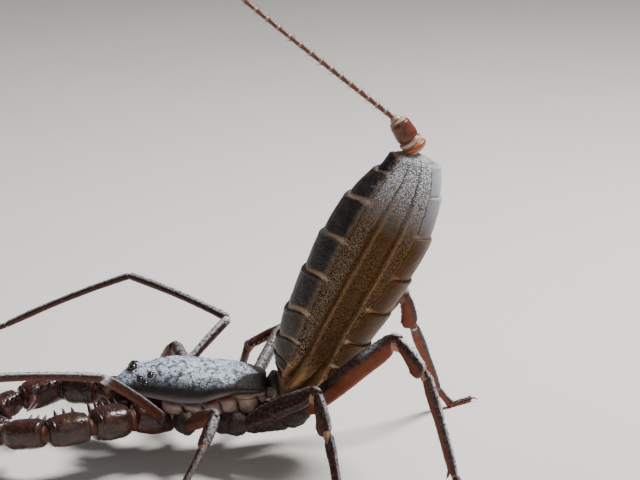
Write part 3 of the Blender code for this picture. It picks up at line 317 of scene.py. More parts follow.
class VinegaroonLight(PropertyGroup):
    """The studio's lamps."""
    key: light_field("Key", "Power of the large lamp above and behind on the right, in watts", 2.4)
    fill: light_field("Fill", "Power of the soft lamp beside the camera, in watts", 0.25)
    sky: light_field("Sky", "Strength of the even light all round", 0.12)


def sizes():
    """The fine sizes of this scene."""
    return bpy.context.scene.vinegaroon_sizes


def colours():
    """The colours of this scene."""
    return bpy.context.scene.vinegaroon_colours


# vectors and curves

def place(x, y, z):
    """A point over the floor from one counted from the pedicel."""
    return np.array([x, y, z], float) + ORIGIN


def mirrored(point, sign):
    """A point over the floor from one counted from the pedicel, on the side with that sign of y."""
    return place(point[0], point[1] * sign, point[2])


def unit(vectors):
    """The same directions, one long."""
    vectors = np.asarray(vectors, float)
    return vectors / np.linalg.norm(vectors, axis=-1, keepdims=True)


def turns(count):
    """So many angles evenly round a circle, from 0 on."""
    return np.arange(count) * 2 * math.pi / count


def squarish(values, power):
    """Sines or cosines drawn towards a rounded square's: their sign times their size ^ (2 / power)."""
    return np.sign(values) * np.abs(values) ** (2 / power)


def bowed(start, end, bow, t):
    """A point at share t of a line from start to end that is bowed by bow * 4 t (1 - t)."""
    return start + (end - start) * t + bow * 4 * t * (1 - t)


def heading(bearing, slope, sign):
    """A direction from its bearing, counted from +X towards the leg's own side, and its slope."""
    b, s = math.radians(bearing), math.radians(slope)
    return np.array([math.cos(b) * math.cos(s), sign * math.sin(b) * math.cos(s), math.sin(s)])


def smooth_rows(rows, places):
    """Rows of (place, size, size ...) read at other places on a smooth curve through every row.

    Between two rows each size is the cubic whose slope at each row is the mean slope of the two
    stretches that meet there.
    """
    rows = np.asarray(rows, float)
    places = np.asarray(places, float)
    knots, values = rows[:, 0], rows[:, 1:]
    slopes = np.gradient(values, knots, axis=0)
    index = np.clip(np.searchsorted(knots, places, side="right") - 1, 0, len(knots) - 2)
    width = (knots[index + 1] - knots[index])[..., None]
    t = np.clip((places - knots[index])[..., None] / width, 0, 1)
    return ((2 * t**3 - 3 * t**2 + 1) * values[index] + (t**3 - 2 * t**2 + t) * width * slopes[index]
            + (3 * t**2 - 2 * t**3) * values[index + 1] + (t**3 - t**2) * width * slopes[index + 1])


def step(values, low, high):
    """A share that rises smoothly from 0 at `low` to 1 at `high`: 3 t^2 - 2 t^3."""
    t = np.clip((np.asarray(values, float) - low) / (high - low), 0, 1)
    return t * t * (3 - 2 * t)


def hill(values, middle, width):
    """A smooth hill one high: e to the minus square of the distance from its middle over its width."""
    return np.exp(-(((np.asarray(values, float) - middle) / width) ** 2))


def grain(points, size, seed):
    """Smooth random lumps from -1 to 1 about `size` mm across.

    Each corner of a cubic lattice has a fixed random value, and a point takes the mean of the
    eight corners round it, weighted by 3 t^2 - 2 t^3 along each axis.
    """
    cell = np.asarray(points, float) / size
    base = np.floor(cell).astype(np.int64)
    share = cell - base
    share = share * share * (3 - 2 * share)
    total = np.zeros(cell.shape[:-1])
    for corner in np.ndindex(2, 2, 2):
        key = (base + corner) @ np.array([73856093, 19349663, 83492791]) + 7919 * seed
        key = (key ^ (key >> 15)) * 2246822519 % 4294967296
        key = (key ^ (key >> 13)) % 65536
        weight = np.prod(np.where(corner, share, 1 - share), axis=-1)
        total += weight * key / 65535
    return total * 2 - 1


def lumps(points, *layers):
    """Sum of grains at the points, each layer with its height, size and seed."""
    return sum(height * grain(points, size, seed) for height, size, seed in layers)


# shapes: points in mm, faces, named values at the points, and places on the unwrap

class Shape:
    """Points in mm with faces, named values at the points and, for small repeated things, an unwrap."""

    def __init__(self, points, faces, values=None, unwrap=None):
        self.points = points
        self.faces = faces
        self.values = values or {}
        self.unwrap = unwrap


def joined(shapes):
    """Several shapes as one. A value that one of them lacks is 0 there."""
    names = sorted({name for shape in shapes for name in shape.values})
    starts = np.cumsum([0] + [len(shape.points) for shape in shapes[:-1]])
    faces = [face + start for shape, start in zip(shapes, starts) for face in shape.faces]
    values = {name: np.concatenate([shape.values.get(name, np.zeros(len(shape.points)))
                                    for shape in shapes]) for name in names}
    unwraps = [shape.unwrap for shape in shapes if shape.unwrap is not None]
    return Shape(np.concatenate([shape.points for shape in shapes]), faces, values,
                 np.concatenate(unwraps) if unwraps else None)


def ring_faces(rows, columns):
    """Four-sided faces of a grid whose last column joins its first."""
    i, j = np.meshgrid(np.arange(rows - 1), np.arange(columns), indexing="ij")
    k = (j + 1) % columns
    return np.stack([i * columns + j, i * columns + k, (i + 1) * columns + k, (i + 1) * columns + j],
                    -1).reshape(-1, 4)


def fans(rows, columns, under, over):
    """Triangles that close a grid's first ring to point `under` and its last ring to point `over`."""
    around = np.arange(columns)
    after = (around + 1) % columns
    last = (rows - 1) * columns
    return np.concatenate([np.stack([np.full(columns, under), after, around], -1),
                           np.stack([np.full(columns, over), last + around, last + after], -1)])


def tube(rings, tips, **values):
    """A closed surface over rings (stations, columns, 3) that ends in a fan to a point at each tip."""
    rows, columns = rings.shape[:2]
    filled = {}
    for name, value in values.items():
        flat = np.broadcast_to(value, (rows, columns))
        filled[name] = np.concatenate([flat.ravel(), [flat[0].mean(), flat[-1].mean()]])
    faces = [ring_faces(rows, columns), fans(rows, columns, rows * columns, rows * columns + 1)]
    return Shape(np.concatenate([rings.reshape(-1, 3), np.array(tips)]), faces, filled)


def shell(outer, inner, **values):
    """A closed plate between two open grids of the same size: its sides join them edge to edge."""
    rows, columns = outer.shape[:2]
    rings = np.concatenate([outer, inner[:, ::-1]], axis=1)
    j = np.arange(columns - 1)
    across = 2 * columns - 1 - j
    start = np.stack([j + 1, j, across, across - 1], -1)
    end = start[:, ::-1] + (rows - 1) * 2 * columns
    filled = {}
    for name, value in values.items():
        flat = np.broadcast_to(value, (rows, columns))
        filled[name] = np.concatenate([flat, flat[:, ::-1]], axis=1).ravel()
    return Shape(rings.reshape(-1, 3), [ring_faces(rows, 2 * columns), start, end], filled)


def sections(path, side, widths, rises, drops, columns, power=2.0):
    """Rings about a path.

    With u the path's direction and `above` at right angles to it and to `side`, the point at angle
    a is path + side * width * sin(a)^(2/power) + above * rise * cos(a)^(2/power), with drop for rise
    in the lower half.
    """
    tangents = unit(np.gradient(path, axis=0))
    side = np.broadcast_to(side, path.shape)
    across = unit(side - np.sum(tangents * side, axis=1, keepdims=True) * tangents)
    above = np.cross(across, tangents)
    angle = turns(columns)
    sine, cosine = squarish(np.sin(angle), power), squarish(np.cos(angle), power)
    heights = np.where(cosine > 0, rises[:, None], drops[:, None]) * cosine
    aside = across[:, None] * (widths[:, None] * sine)[..., None]
    return path[:, None] + aside + above[:, None] * heights[..., None]


class Limb:
    """A hard limb part: its rings, the way out of the surface at each point, and its shape."""

    def __init__(self, start, end, side, rows, columns, count, bow=0.0, power=2.0, blunt=0.5,
                 relief=None, floor=None, path=None, slants=(0.0, 0.0), **values):
        """Carry an ellipse of changing size along the line from start to end.

        Rows hold share of the length t, half width, rise and drop. The middle line is the straight
        one raised by bow * 4 t (1 - t), or `path` read at t. Each end closes as half an ellipsoid
        that stands out by `blunt` times its radius, and is sheared along the axis by its slant times
        the cosine of the angle from the top. The relief, in mm, is added outwards. A value may be a
        function of t and of that angle.
        """
        cap = np.linspace(90, 0, 7)[1:-1]
        t = np.concatenate([np.zeros(len(cap)), np.linspace(0, 1, count), np.ones(len(cap))])
        turn = np.radians(np.concatenate([cap, np.zeros(count), cap[::-1]]))
        size = smooth_rows(rows, t) * np.cos(turn)[:, None]
        start, end = np.asarray(start, float), np.asarray(end, float)
        axis = unit(end - start)
        across = unit(side - (axis @ side) * axis)
        above = np.cross(across, axis)
        if path is None:
            middle = bowed(start, end, above * bow, t[:, None])
            ways = np.stack([axis, axis])
        else:
            path = np.asarray(path, float)
            lengths = np.concatenate([[0], np.cumsum(np.linalg.norm(np.diff(path, axis=0), axis=1))])
            middle = smooth_rows(np.column_stack([lengths / lengths[-1], path]), t)
            ways = unit(np.stack([path[1] - path[0], path[-1] - path[-2]]))
        last = np.asarray(rows, float)[[0, -1], 2]
        shift = np.sin(turn) * blunt
        near = np.arange(len(t)) < len(cap)
        middle = (middle - ways[0] * (shift * last[0] * near)[:, None]
                  + ways[1] * (shift * last[1] * ~near)[:, None])
        rings = sections(middle, side, size[:, 0], size[:, 1], size[:, 2], columns, power)
        self.t = np.broadcast_to(t[:, None], rings.shape[:2])
        self.angle = np.broadcast_to(turns(columns), rings.shape[:2])
        self.out = unit(rings - middle[:, None] + 1e-9)
        self.axis = axis
        shear = slants[0] * (1 - step(self.t, 0, 0.2)) + slants[1] * step(self.t, 0.8, 1)
        rings = rings + axis * (shear * np.cos(self.angle))[..., None]
        if relief is not None:
            fade = np.cos(turn)[:, None]
            rings = rings + self.out * (relief(self.t, self.angle, rings) * fade)[..., None]
        beyond = ways * (last * blunt * TIP_REACH)[:, None]
        tips = np.array([middle[0] - beyond[0], middle[-1] + beyond[1]])
        if floor is not None:
            rings[..., 2] = np.maximum(rings[..., 2], floor)
            tips[:, 2] = np.maximum(tips[:, 2], floor)
        self.rings = rings
        values = {name: value(self.t, self.angle) if callable(value) else value
                  for name, value in values.items()}
        self.shape = tube(rings, tips, along=self.t, top=np.cos(self.angle), **values)

    def spots(self, count, draw, along=(0.05, 0.95), around=(0, 360)):
        """Random places on the surface: points, ways out, and their place on the part's unwrap."""
        rows, columns = self.rings.shape[:2]
        share = draw.uniform(*along, count)
        row = np.clip(np.searchsorted(self.t[:, 0], share), 1, rows - 2)
        column = (draw.uniform(*around, count) / 360 * columns).astype(int) % columns
        unwrap = np.stack([column / columns, row / rows], -1)
        return self.rings[row, column], self.out[row, column], unwrap


def horn(root, tip, bow, radius, columns=12, rows=14):
    """A curved, tapered tooth, spine or claw.

    Its middle line is the straight one plus bow * 4 t (1 - t), and its radius falls as
    (1 - t^1.3)^0.8 to a fine point.
    """
    root, tip, bow = (np.asarray(value, float) for value in (root, tip, bow))
    t = np.linspace(0, 0.985, rows)[:, None]
    path = bowed(root, tip, bow, t)
    size = radius * (1 - t[:, 0] ** 1.3) ** 0.8
    axis = unit(tip - root)
    helper = UP if abs(axis[2]) < 0.8 else np.array([1.0, 0.0, 0.0])
    rings = sections(path, unit(np.cross(axis, helper)), size, size, size, columns)
    return tube(rings, [root - axis * radius * 0.3, tip], along=t)


def ball(centre, radii, axes=np.eye(3), rows=18, columns=28, power=2.0, **values):
    """An ellipsoid, boxier as the power rises: centre + axes * radii * a point of the unit sphere."""
    polar, turn = np.linspace(0, math.pi, rows)[1:-1, None], turns(columns)
    radii = np.asarray(radii, float) * np.ones(3)
    ways = np.stack([np.sin(polar) * np.sin(turn), np.sin(polar) * np.cos(turn),
                     np.cos(polar) * np.ones(columns)], -1)
    poles = np.array([[0, 0, radii[2]], [0, 0, -radii[2]]])
    return tube(centre + (squarish(ways, power) * radii) @ axes, centre + poles @ axes, **values)


def frames(normals):
    """For each way out of a surface, two directions along the surface and the way itself."""
    normals = unit(normals)
    helper = np.where(np.abs(normals[:, 2:]) < 0.9, UP, np.array([1.0, 0.0, 0.0]))
    first = unit(np.cross(helper, normals))
    return np.stack([first, np.cross(normals, first), normals], axis=1)


def copies(points, rows, columns, under, over, places, corners):
    """Many small closed things (count, points, 3) in one mesh, each of rings closed to two points.

    Each has a patch about 0.003 across at its root's place on the skin's unwrap.
    """
    offset = (np.arange(len(points)) * points.shape[1])[:, None, None]
    faces = [(face[None] + offset).reshape(-1, face.shape[1])
             for face in (ring_faces(rows, columns), fans(rows, columns, under, over))]
    unwrap = (places[:, None] + corners * UNWRAP_REACH).reshape(-1, 2)
    return Shape(points.reshape(-1, 3), faces, {}, unwrap)


def domes(centres, normals, radii, heights, places, stretch=1.0):
    """Low grains on a surface: a sunk ring, an upper ring at 0.72 of the radius, and a top.

    Each is longer by `stretch` in the upright direction along the surface.
    """
    sides = GRAIN_SIDES
    circle = np.stack([np.cos(turns(sides)), np.sin(turns(sides))], -1)
    flat = np.concatenate([circle, circle * 0.72, [[0, 0], [0, 0]]])
    lift = np.concatenate([np.full(sides, -0.5), np.full(sides, 0.6), [1.0, -0.5]])
    local = np.concatenate([flat[None] * np.array([1.0, stretch]) * radii[:, None, None],
                            (lift[None] * heights[:, None])[..., None]], axis=-1)
    points = centres[:, None] + np.einsum("nkc,ncd->nkd", local, frames(normals))
    return copies(points, 2, sides, 2 * sides + 1, 2 * sides, places, flat)


def bristles(roots, ways, lengths, radii, bends, places):
    """Fine tapered hairs: root + way * length * t + bend * length * t^2, thinning to a point."""
    sides, stations = BRISTLE_SIDES, BRISTLE_STATIONS
    t = np.linspace(0, 1, stations + 1)[:-1]
    ways = unit(ways)
    middle = (roots[:, None] - ways[:, None] * 0.05 + ways[:, None] * (lengths[:, None] * t)[..., None]
              + bends[:, None] * (lengths[:, None] * t**2)[..., None])
    basis = frames(ways)
    turn = turns(sides)
    circle = np.cos(turn)[:, None] * basis[:, None, 0] + np.sin(turn)[:, None] * basis[:, None, 1]
    thick = radii * (1 - t * 0.8)
    points = middle[:, :, None] + circle[:, None] * thick[:, None, None]
    tips = roots + (ways + bends) * lengths[:, None]
    count = stations * sides
    points = np.concatenate([points.reshape(len(roots), count, 3), tips[:, None], middle[:, :1]], axis=1)
    spread = np.arange(count + 2) * 2.4
    corners = np.stack([np.cos(spread), np.sin(spread)], -1)
    return copies(points, stations, sides, count + 1, count, places, corners)


def made_object(name, shape, material, sharp=None):
    """An object of the scene with that shape, smooth, or sharp at edges past so many degrees."""
    mesh = bpy.data.meshes.new(name)
    corners = np.concatenate([face.ravel() for face in shape.faces]).astype(np.int32)
    counts = np.concatenate([np.full(len(face), face.shape[1]) for face in shape.faces])
    mesh.vertices.add(len(shape.points))
    mesh.vertices.foreach_set("co", (shape.points * MM).astype(np.float32).ravel())
    mesh.loops.add(len(corners))
    mesh.loops.foreach_set("vertex_index", corners)
    mesh.polygons.add(len(counts))
    mesh.polygons.foreach_set("loop_start", np.concatenate([[0], np.cumsum(counts)[:-1]]).astype(np.int32))
    mesh.update(calc_edges=True)
    for value_name, values in shape.values.items():
        layer = mesh.attributes.new(value_name, "FLOAT", "POINT")
        layer.data.foreach_set("value", values.astype(np.float32))
    if shape.unwrap is not None:
        layer = mesh.uv_layers.new(name="OFBake")
        layer.data.foreach_set("uv", shape.unwrap[corners].astype(np.float32).ravel())
    mesh.shade_smooth()
    if sharp:
        mesh.set_sharp_from_angle(angle=math.radians(sharp))
    mesh.materials.append(material)
    thing = bpy.data.objects.new(name, mesh)
    bpy.context.scene.collection.objects.link(thing)
    return thing


def put(name, shape, finish_name, nodes=(), sharp=None):
    """Make a piece that rides on the body, with its finish and the nodes it replaces."""
    thing = made_object(name, shape, finish(finish_name), sharp)
    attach(thing, "root")
    if nodes:
        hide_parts(*nodes)


# finishes

class Recipe:
    """The nodes of one finish: patterns on Object coordinates or on the piece's own values."""

    def __init__(self, name, **constants):
        self.material = bpy.data.materials.new(name)
        self.material.use_nodes = True
        self.tree = self.material.node_tree
        self.shader = self.tree.nodes["Principled BSDF"]
        for socket, value in constants.items():
            self.shader.inputs[socket.replace("_", " ")].default_value = value
        self.where = self.node("ShaderNodeTexCoord").outputs["Object"]
        self.normal = None
        self.colour = None

    def node(self, kind, inputs=None, **settings):
        """Add a node, set it up and feed its inputs: constants, other nodes' outputs, or a value's name."""
        made = self.tree.nodes.new(kind)
        for name, value in settings.items():
            setattr(made, name, value)
        for name, value in (inputs or {}).items():
            if isinstance(value, str):
                value = self.node("ShaderNodeAttribute", attribute_name=value).outputs["Fac"]
            if isinstance(value, bpy.types.NodeSocket):
                self.tree.links.new(value, made.inputs[name])
            else:
                made.inputs[name].default_value = value
        return made

    def noise(self, size, detail=3.0, stretch=(1, 1, 1)):
        """Clouds about `size` mm across, from 0 to 1."""
        where = self.where
        if stretch != (1, 1, 1):
            where = self.node("ShaderNodeMapping", {"Vector": where, "Scale": stretch}).outputs[0]
        inputs = {"Vector": where, "Scale": 1 / (size * MM), "Detail": detail}
        return self.node("ShaderNodeTexNoise", inputs).outputs["Fac"]

    def cells(self, size):
        """Distance from the nearest of many points about `size` mm apart."""
        inputs = {"Vector": self.where, "Scale": 1 / (size * MM)}
        return self.node("ShaderNodeTexVoronoi", inputs).outputs["Distance"]

    def level(self, source, low, high, bottom=0.0, top=1.0):
        """A source's range from `low` to `high` spread over another range and held within it."""
        inputs = {"Value": source, "From Min": low, "From Max": high, "To Min": bottom, "To Max": top}
        return self.node("ShaderNodeMapRange", inputs).outputs["Result"]

    def clouds(self, size, low, high, bottom=0.0, top=1.0, detail=3.0):
        """Clouds spread over another range."""
        return self.level(self.noise(size, detail), low, high, bottom, top)

    def dots(self, size, reach, bottom=0.0, top=1.0):
        """A height or hollow round each of many points, as far as `reach`."""
        return self.level(self.cells(size), 0.0, reach, bottom, top)

    def times(self, first, second, operation="MULTIPLY"):
        """Two values put together by arithmetic."""
        return self.node("ShaderNodeMath", {0: first, 1: second}, operation=operation).outputs[0]

    def blend(self, share, first, second):
        """Two colours mixed by a share."""
        first, second = (value if isinstance(value, bpy.types.NodeSocket) else (*value, 1.0)
                         for value in (first, second))
        return self.node("ShaderNodeMix", {0: share, 6: first, 7: second}, data_type="RGBA").outputs[2]

    def lay(self, share, colour):
        """Lay another colour over the finish by a share."""
        self.colour = self.blend(share, self.colour, colour)

    def bump(self, height, depth):
        """Raise the surface's shading by a height pattern `depth` mm deep."""
        inputs = {"Height": height, "Distance": depth * MM, "Strength": 1.0}
        if self.normal:
            inputs["Normal"] = self.normal
        self.normal = self.node("ShaderNodeBump", inputs).outputs[0]

    def done(self, roughness):
        """Connect the colour, the bumps and a roughness: a source, or the size and range of its clouds."""
        if isinstance(roughness, tuple):
            size, smooth, rough = roughness
            roughness = self.clouds(size, 0.3, 0.7, smooth, rough)
        self.tree.links.new(self.colour, self.shader.inputs["Base Color"])
        self.tree.links.new(roughness, self.shader.inputs["Roughness"])
        if self.normal:
            self.tree.links.new(self.normal, self.shader.inputs["Normal"])
        return self.material


def plate_finish(look):
    """Nearly black, pitted cuticle, browner and ragged at its sides, with painted silvery glints at the tip.
    """
    made = Recipe("pitted black plate", Specular_IOR_Level=0.45)
    cloudy = made.times("brown", made.clouds(1.4, 0.3, 0.75, -0.12, 0.3), "ADD")
    made.colour = made.blend(made.level(cloudy, 0.0, 1.0), look.plate, look.plate_brown)
    made.lay(made.clouds(0.9, 0.5, 0.68, 0.0, 0.4, 5.0), (0.085, 0.075, 0.070))
    ragged = made.times("side", made.clouds(0.2, 0.35, 0.65, -0.45, 0.45, 2.0), "ADD")
    made.lay(made.level(ragged, 0.5, 0.8, 0.0, 0.7), look.flank * 0.5)
    # painted highlight: silvery glints towards the abdomen's tip
    made.lay(made.times("silver", made.clouds(0.3, 0.52, 0.62, detail=2.0)), (0.30, 0.33, 0.37))
    speck = made.level(made.cells(0.26), 0.16, 0.3, 0.75, 0.0)
    made.lay(made.times(speck, "brown"), (0.012, 0.009, 0.008))
    made.bump(made.dots(0.28, 0.5), 0.06)
    made.bump(made.noise(0.6, 4.0), 0.09)
    return made.done((0.5, 0.32, 0.5))


def carapace_finish(look):
    """Dark granular cuticle with a painted silvery highlight on top, whose rim is a thin pale grey line."""
    made = Recipe("granular carapace", Specular_IOR_Level=0.4)
    made.colour = made.blend(made.clouds(1.3, 0.35, 0.7), look.plate, (0.034, 0.024, 0.021))
    # painted highlight: a silvery sheen and white glints laid over the carapace's top
    made.lay(made.times("bloom", made.clouds(0.6, 0.4, 0.58, 0.12, 1.0, 4.0)), look.shield)
    made.lay(made.times("bloom", made.clouds(0.25, 0.58, 0.66, detail=2.0)), (0.86, 0.91, 0.97))
    made.lay("rim", (0.21, 0.185, 0.18))
    made.bump(made.dots(0.24, 0.6, 1.0, 0.0), 0.05)
    made.bump(made.noise(0.1, 2.0), 0.02)
    return made.done(made.level("bloom", 0.0, 1.0, 0.68, 0.4))


def flank_finish(look):
    """Soft skin of the abdomen: grey-brown above, amber below, tan on ridges, pale in the bands, painted
    silvery at the tip.
    """
    made = Recipe("flank skin", Specular_IOR_Level=0.2)
    made.colour = made.blend("warm", look.flank, look.flank_low)
    made.lay(made.clouds(0.9, 0.3, 0.75, 0.4, 0.0), (0.07, 0.04, 0.022))
    made.lay("fold", look.fold)
    made.lay("ridge", look.ridge)
    made.lay("amber", look.groove)
    made.lay("band", made.blend("rust", look.band, (0.19, 0.085, 0.022)))
    # painted highlight: silvery sheen towards the abdomen's tip
    made.lay(made.times("silver", made.clouds(0.5, 0.3, 0.6, 0.55, 0.95)), (0.38, 0.38, 0.40))
    soft = made.level(made.times("band", "fold", "MAXIMUM"), 0.0, 1.0, 0.55, 0.12)
    made.lay(made.times(made.clouds(0.16, 0.42, 0.66, detail=2.0), soft), (0.035, 0.021, 0.012))
    made.bump(made.noise(0.35), 0.05)
    made.bump(made.dots(0.16, 0.6, 1.0, 0.0), 0.025)
    return made.done((0.7, 0.36, 0.52))


def grain_finish(look):
    """Black grains with a soft gleam, and painted silvery glints at the abdomen's tip."""
    made = Recipe("black grain", Specular_IOR_Level=0.18)
    made.colour = made.blend(made.clouds(0.5, 0.4, 0.7), look.grain, (0.022, 0.013, 0.008))
    # painted highlight: silvery glints on the grains near the tip
    made.lay(made.times("silver", made.clouds(0.22, 0.34, 0.48, detail=2.0)), (0.84, 0.87, 0.94))
    return made.done((0.3, 0.32, 0.5))


def belly_finish(look):
    """Smooth olive-brown belly plates, amber towards their edges, silky, with a painted silvery sheen near
    the tip.
    """
    made = Recipe("belly plate", Specular_IOR_Level=0.12)
    made.colour = made.blend(made.clouds(1.8, 0.35, 0.7), look.belly * 0.72, look.belly)
    made.lay(made.level("edge", 0.2, 1.0, 0.0, 0.85), (0.135, 0.058, 0.013))
    # painted highlight: silvery sheen on the belly plates near the tip
    made.lay(made.times("silver", made.clouds(0.3, 0.3, 0.6, 0.6, 1.0)), (0.52, 0.55, 0.62))
    made.lay(made.clouds(0.3, 0.5, 0.72, 0.0, 0.4), (0.04, 0.02, 0.008))
    made.bump(made.dots(0.35, 0.5), 0.02)
    made.bump(made.noise(0.15, 2.0), 0.012)
    return made.done((0.8, 0.34, 0.46))


def leg_finish(look):
    """Dark red legs, wrinkled and nearly black on top, orange-brown on the flank, with painted silver and
    grey highlights.
    """
    made = Recipe("red-brown leg", Specular_IOR_Level=0.22)
    mottle = made.times("top", made.clouds(0.45, 0.3, 0.7, -0.22, 0.22), "ADD")
    dark = made.level(made.times(made.level(mottle, -0.05, 0.3), "dark", "ADD"), 0.0, 1.0)
    made.colour = made.blend(dark, look.leg_flank, look.leg_top)
    red = made.blend(dark, (0.12, 0.016, 0.005), (0.045, 0.011, 0.008))
    made.lay(made.clouds(1.1, 0.35, 0.7, 0.05, 0.7), red)
    # a pale line low on the third femur, partly a seam and partly a painted rim highlight
    made.lay("seam", (0.15, 0.08, 0.05))
    # painted sheen: grey patches on the dark upper parts of the legs
    painted_top_sheen = made.times(made.times(dark, dark), made.clouds(0.35, 0.48, 0.66, 0.0, 0.4, 4.0))
    made.lay(painted_top_sheen, (0.13, 0.12, 0.13))
    # painted highlight: a silvery streak along the top of the legs
    made.lay(made.times("gleam", made.clouds(0.3, 0.36, 0.56, 0.05, 1.0)), (0.74, 0.76, 0.82))
    made.bump(made.noise(0.25), 0.03)
    made.bump(made.dots(0.28, 0.5, 1.0, 0.0), 0.012)
    return made.done((0.4, 0.26, 0.42))


def joint_finish(look):
    """Pale, finely folded skin in the joints, dark red where a joint is tight."""
    made = Recipe("joint skin", Specular_IOR_Level=0.3)
    made.colour = made.blend(made.clouds(0.6, 0.35, 0.7), look.joint, (0.26, 0.13, 0.075))
    made.lay("tight", (0.085, 0.026, 0.014))
    made.bump(made.noise(0.18), 0.04)
    return made.done((0.4, 0.42, 0.6))


def coxa_finish(look):
    """Dark, coarsely wrinkled coxae and trochanters with grey-brown ridges."""
    made = Recipe("dark coxa", Specular_IOR_Level=0.3)
    made.colour = made.blend(made.clouds(0.8, 0.35, 0.7), look.coxa, (0.052, 0.034, 0.030))
    made.lay(made.level(made.noise(0.16, stretch=(1, 1, 0.35)), 0.55, 0.72, 0.0, 0.55), (0.14, 0.105, 0.09))
    made.bump(made.noise(0.3, 4.0), 0.10)
    made.bump(made.dots(0.26, 0.5), 0.05)
    return made.done((0.4, 0.42, 0.62))


def pleura_finish(look):
    """Smooth grey-pink skin over the coxae, tan or red under the rim and darker in its creases."""
    made = Recipe("side skin", Specular_IOR_Level=0.4)
    made.colour = made.blend(made.clouds(1.2, 0.35, 0.7), look.pleura, (0.13, 0.078, 0.06))
    made.lay("tan", (0.36, 0.255, 0.19))
    made.lay("red", (0.13, 0.022, 0.012))
    made.lay(made.level("crease", 0.2, 1.0, 0.0, 0.85), (0.045, 0.018, 0.011))
    made.bump(made.noise(0.5), 0.04)
    made.bump(made.noise(0.16, 2.0), 0.012)
    return made.done((0.8, 0.34, 0.5))


def palp_finish(look):
    """Black-red pedipalps, glossy, with fine round pits."""
    made = Recipe("pitted pedipalp", Specular_IOR_Level=0.4, Coat_Weight=0.25, Coat_Roughness=0.2)
    made.colour = made.blend(made.clouds(1.4, 0.35, 0.7), look.palp, (0.07, 0.018, 0.012))
    made.bump(made.dots(0.42, 0.35), 0.06)
    made.bump(made.noise(0.3), 0.03)
    return made.done((0.5, 0.24, 0.4))


def whip_finish(look):
    """Red-brown joints of the whip and of the tip, cream at their ends."""
    made = Recipe("red-brown whip", Specular_IOR_Level=0.55)
    made.colour = made.blend(made.clouds(0.5, 0.35, 0.7), look.whip, (0.085, 0.018, 0.012))
    made.lay("orange", (0.33, 0.085, 0.02))
    made.lay("ring", look.whip_ring)
    made.bump(made.noise(0.2), 0.025)
    return made.done((0.4, 0.26, 0.42))


def eye_finish(look):
    """Glassy black eyes with an amber depth."""
    made = Recipe("glossy eye", Specular_IOR_Level=0.8, Coat_Weight=1.0, Coat_Roughness=0.03)
    made.colour = made.blend(made.clouds(0.3, 0.45, 0.7), look.eye, (0.03, 0.012, 0.004))
    return made.done((0.5, 0.05, 0.1))


def claw_finish(look):
    """Dark, hard claws and fangs, redder at the root."""
    made = Recipe("claw", Specular_IOR_Level=0.6)
    made.colour = made.blend("along", look.claw, (0.012, 0.007, 0.006))
    made.bump(made.noise(0.2, 2.0), 0.01)
    return made.done((0.3, 0.18, 0.32))


def bristle_finish(look):
    """Stiff red-brown bristles."""
    made = Recipe("bristle", Specular_IOR_Level=0.5)
    made.colour = made.blend(made.clouds(0.8, 0.4, 0.7), look.bristle, (0.26, 0.12, 0.06))
    return made.done((0.5, 0.3, 0.5))


FINISHES = {
    "plate": plate_finish, "carapace": carapace_finish, "flank": flank_finish, "grain": grain_finish,
    "belly": belly_finish, "leg": leg_finish, "joint": joint_finish, "coxa": coxa_finish,
    "pleura": pleura_finish, "palp": palp_finish, "whip": whip_finish, "eye": eye_finish,
    "claw": claw_finish, "bristle": bristle_finish,
}
MADE_FINISHES = {}


def finish(name):
    """The material of that finish, made once."""
    if name not in MADE_FINISHES:
        MADE_FINISHES[name] = FINISHES[name](colours())
    return MADE_FINISHES[name]


# carapace and eyes

def carapace_relief(x, y):
    """Heights in mm added to the dome: the eyes' mound, the middle pit and the furrows that leave it.

    Each is a hill or a hollow of the shape e^-(distance / width)^2.
    """
    mound = OCULAR_MOUND[1] * hill(x, OCULAR_MOUND[0], OCULAR_MOUND[2]) * hill(y, 0, OCULAR_MOUND[3])
    pit = FOVEA[1] * hill(x, FOVEA[0], FOVEA[2]) * hill(y, 0, FOVEA[3])
    aside = np.abs(y)
    furrows = sum(hill(x - slant * aside, FOVEA[0] + shift, 0.35) for slant, shift in FURROWS)
    return mound - pit - FURROW_DEPTH * furrows * step(aside, 0.3, 1.2) * (1 - step(aside, 2.6, 4.2))


def carapace_height(x, y):
    """Height of the carapace's upper surface: rim + dome * (1 - |y / half width|^power)^(1 / power)."""
    half_width, rim, dome = np.moveaxis(smooth_rows(CARAPACE_ROWS, x), -1, 0)
    share = np.clip(1 - np.abs(y / half_width) ** CARAPACE_POWER, 0, 1)
    return rim + dome * share ** (1 / CARAPACE_POWER) + carapace_relief(x, y)


def carapace_normal(x, y):
    """The way out of the carapace's upper surface, from its slopes along and across."""
    reach = 0.1
    slope_x = (carapace_height(x + reach, y) - carapace_height(x - reach, y)) / (2 * reach)
    slope_y = (carapace_height(x, y + reach) - carapace_height(x, y - reach)) / (2 * reach)
    return unit(np.stack([-slope_x, -slope_y, np.ones_like(slope_x)], -1))


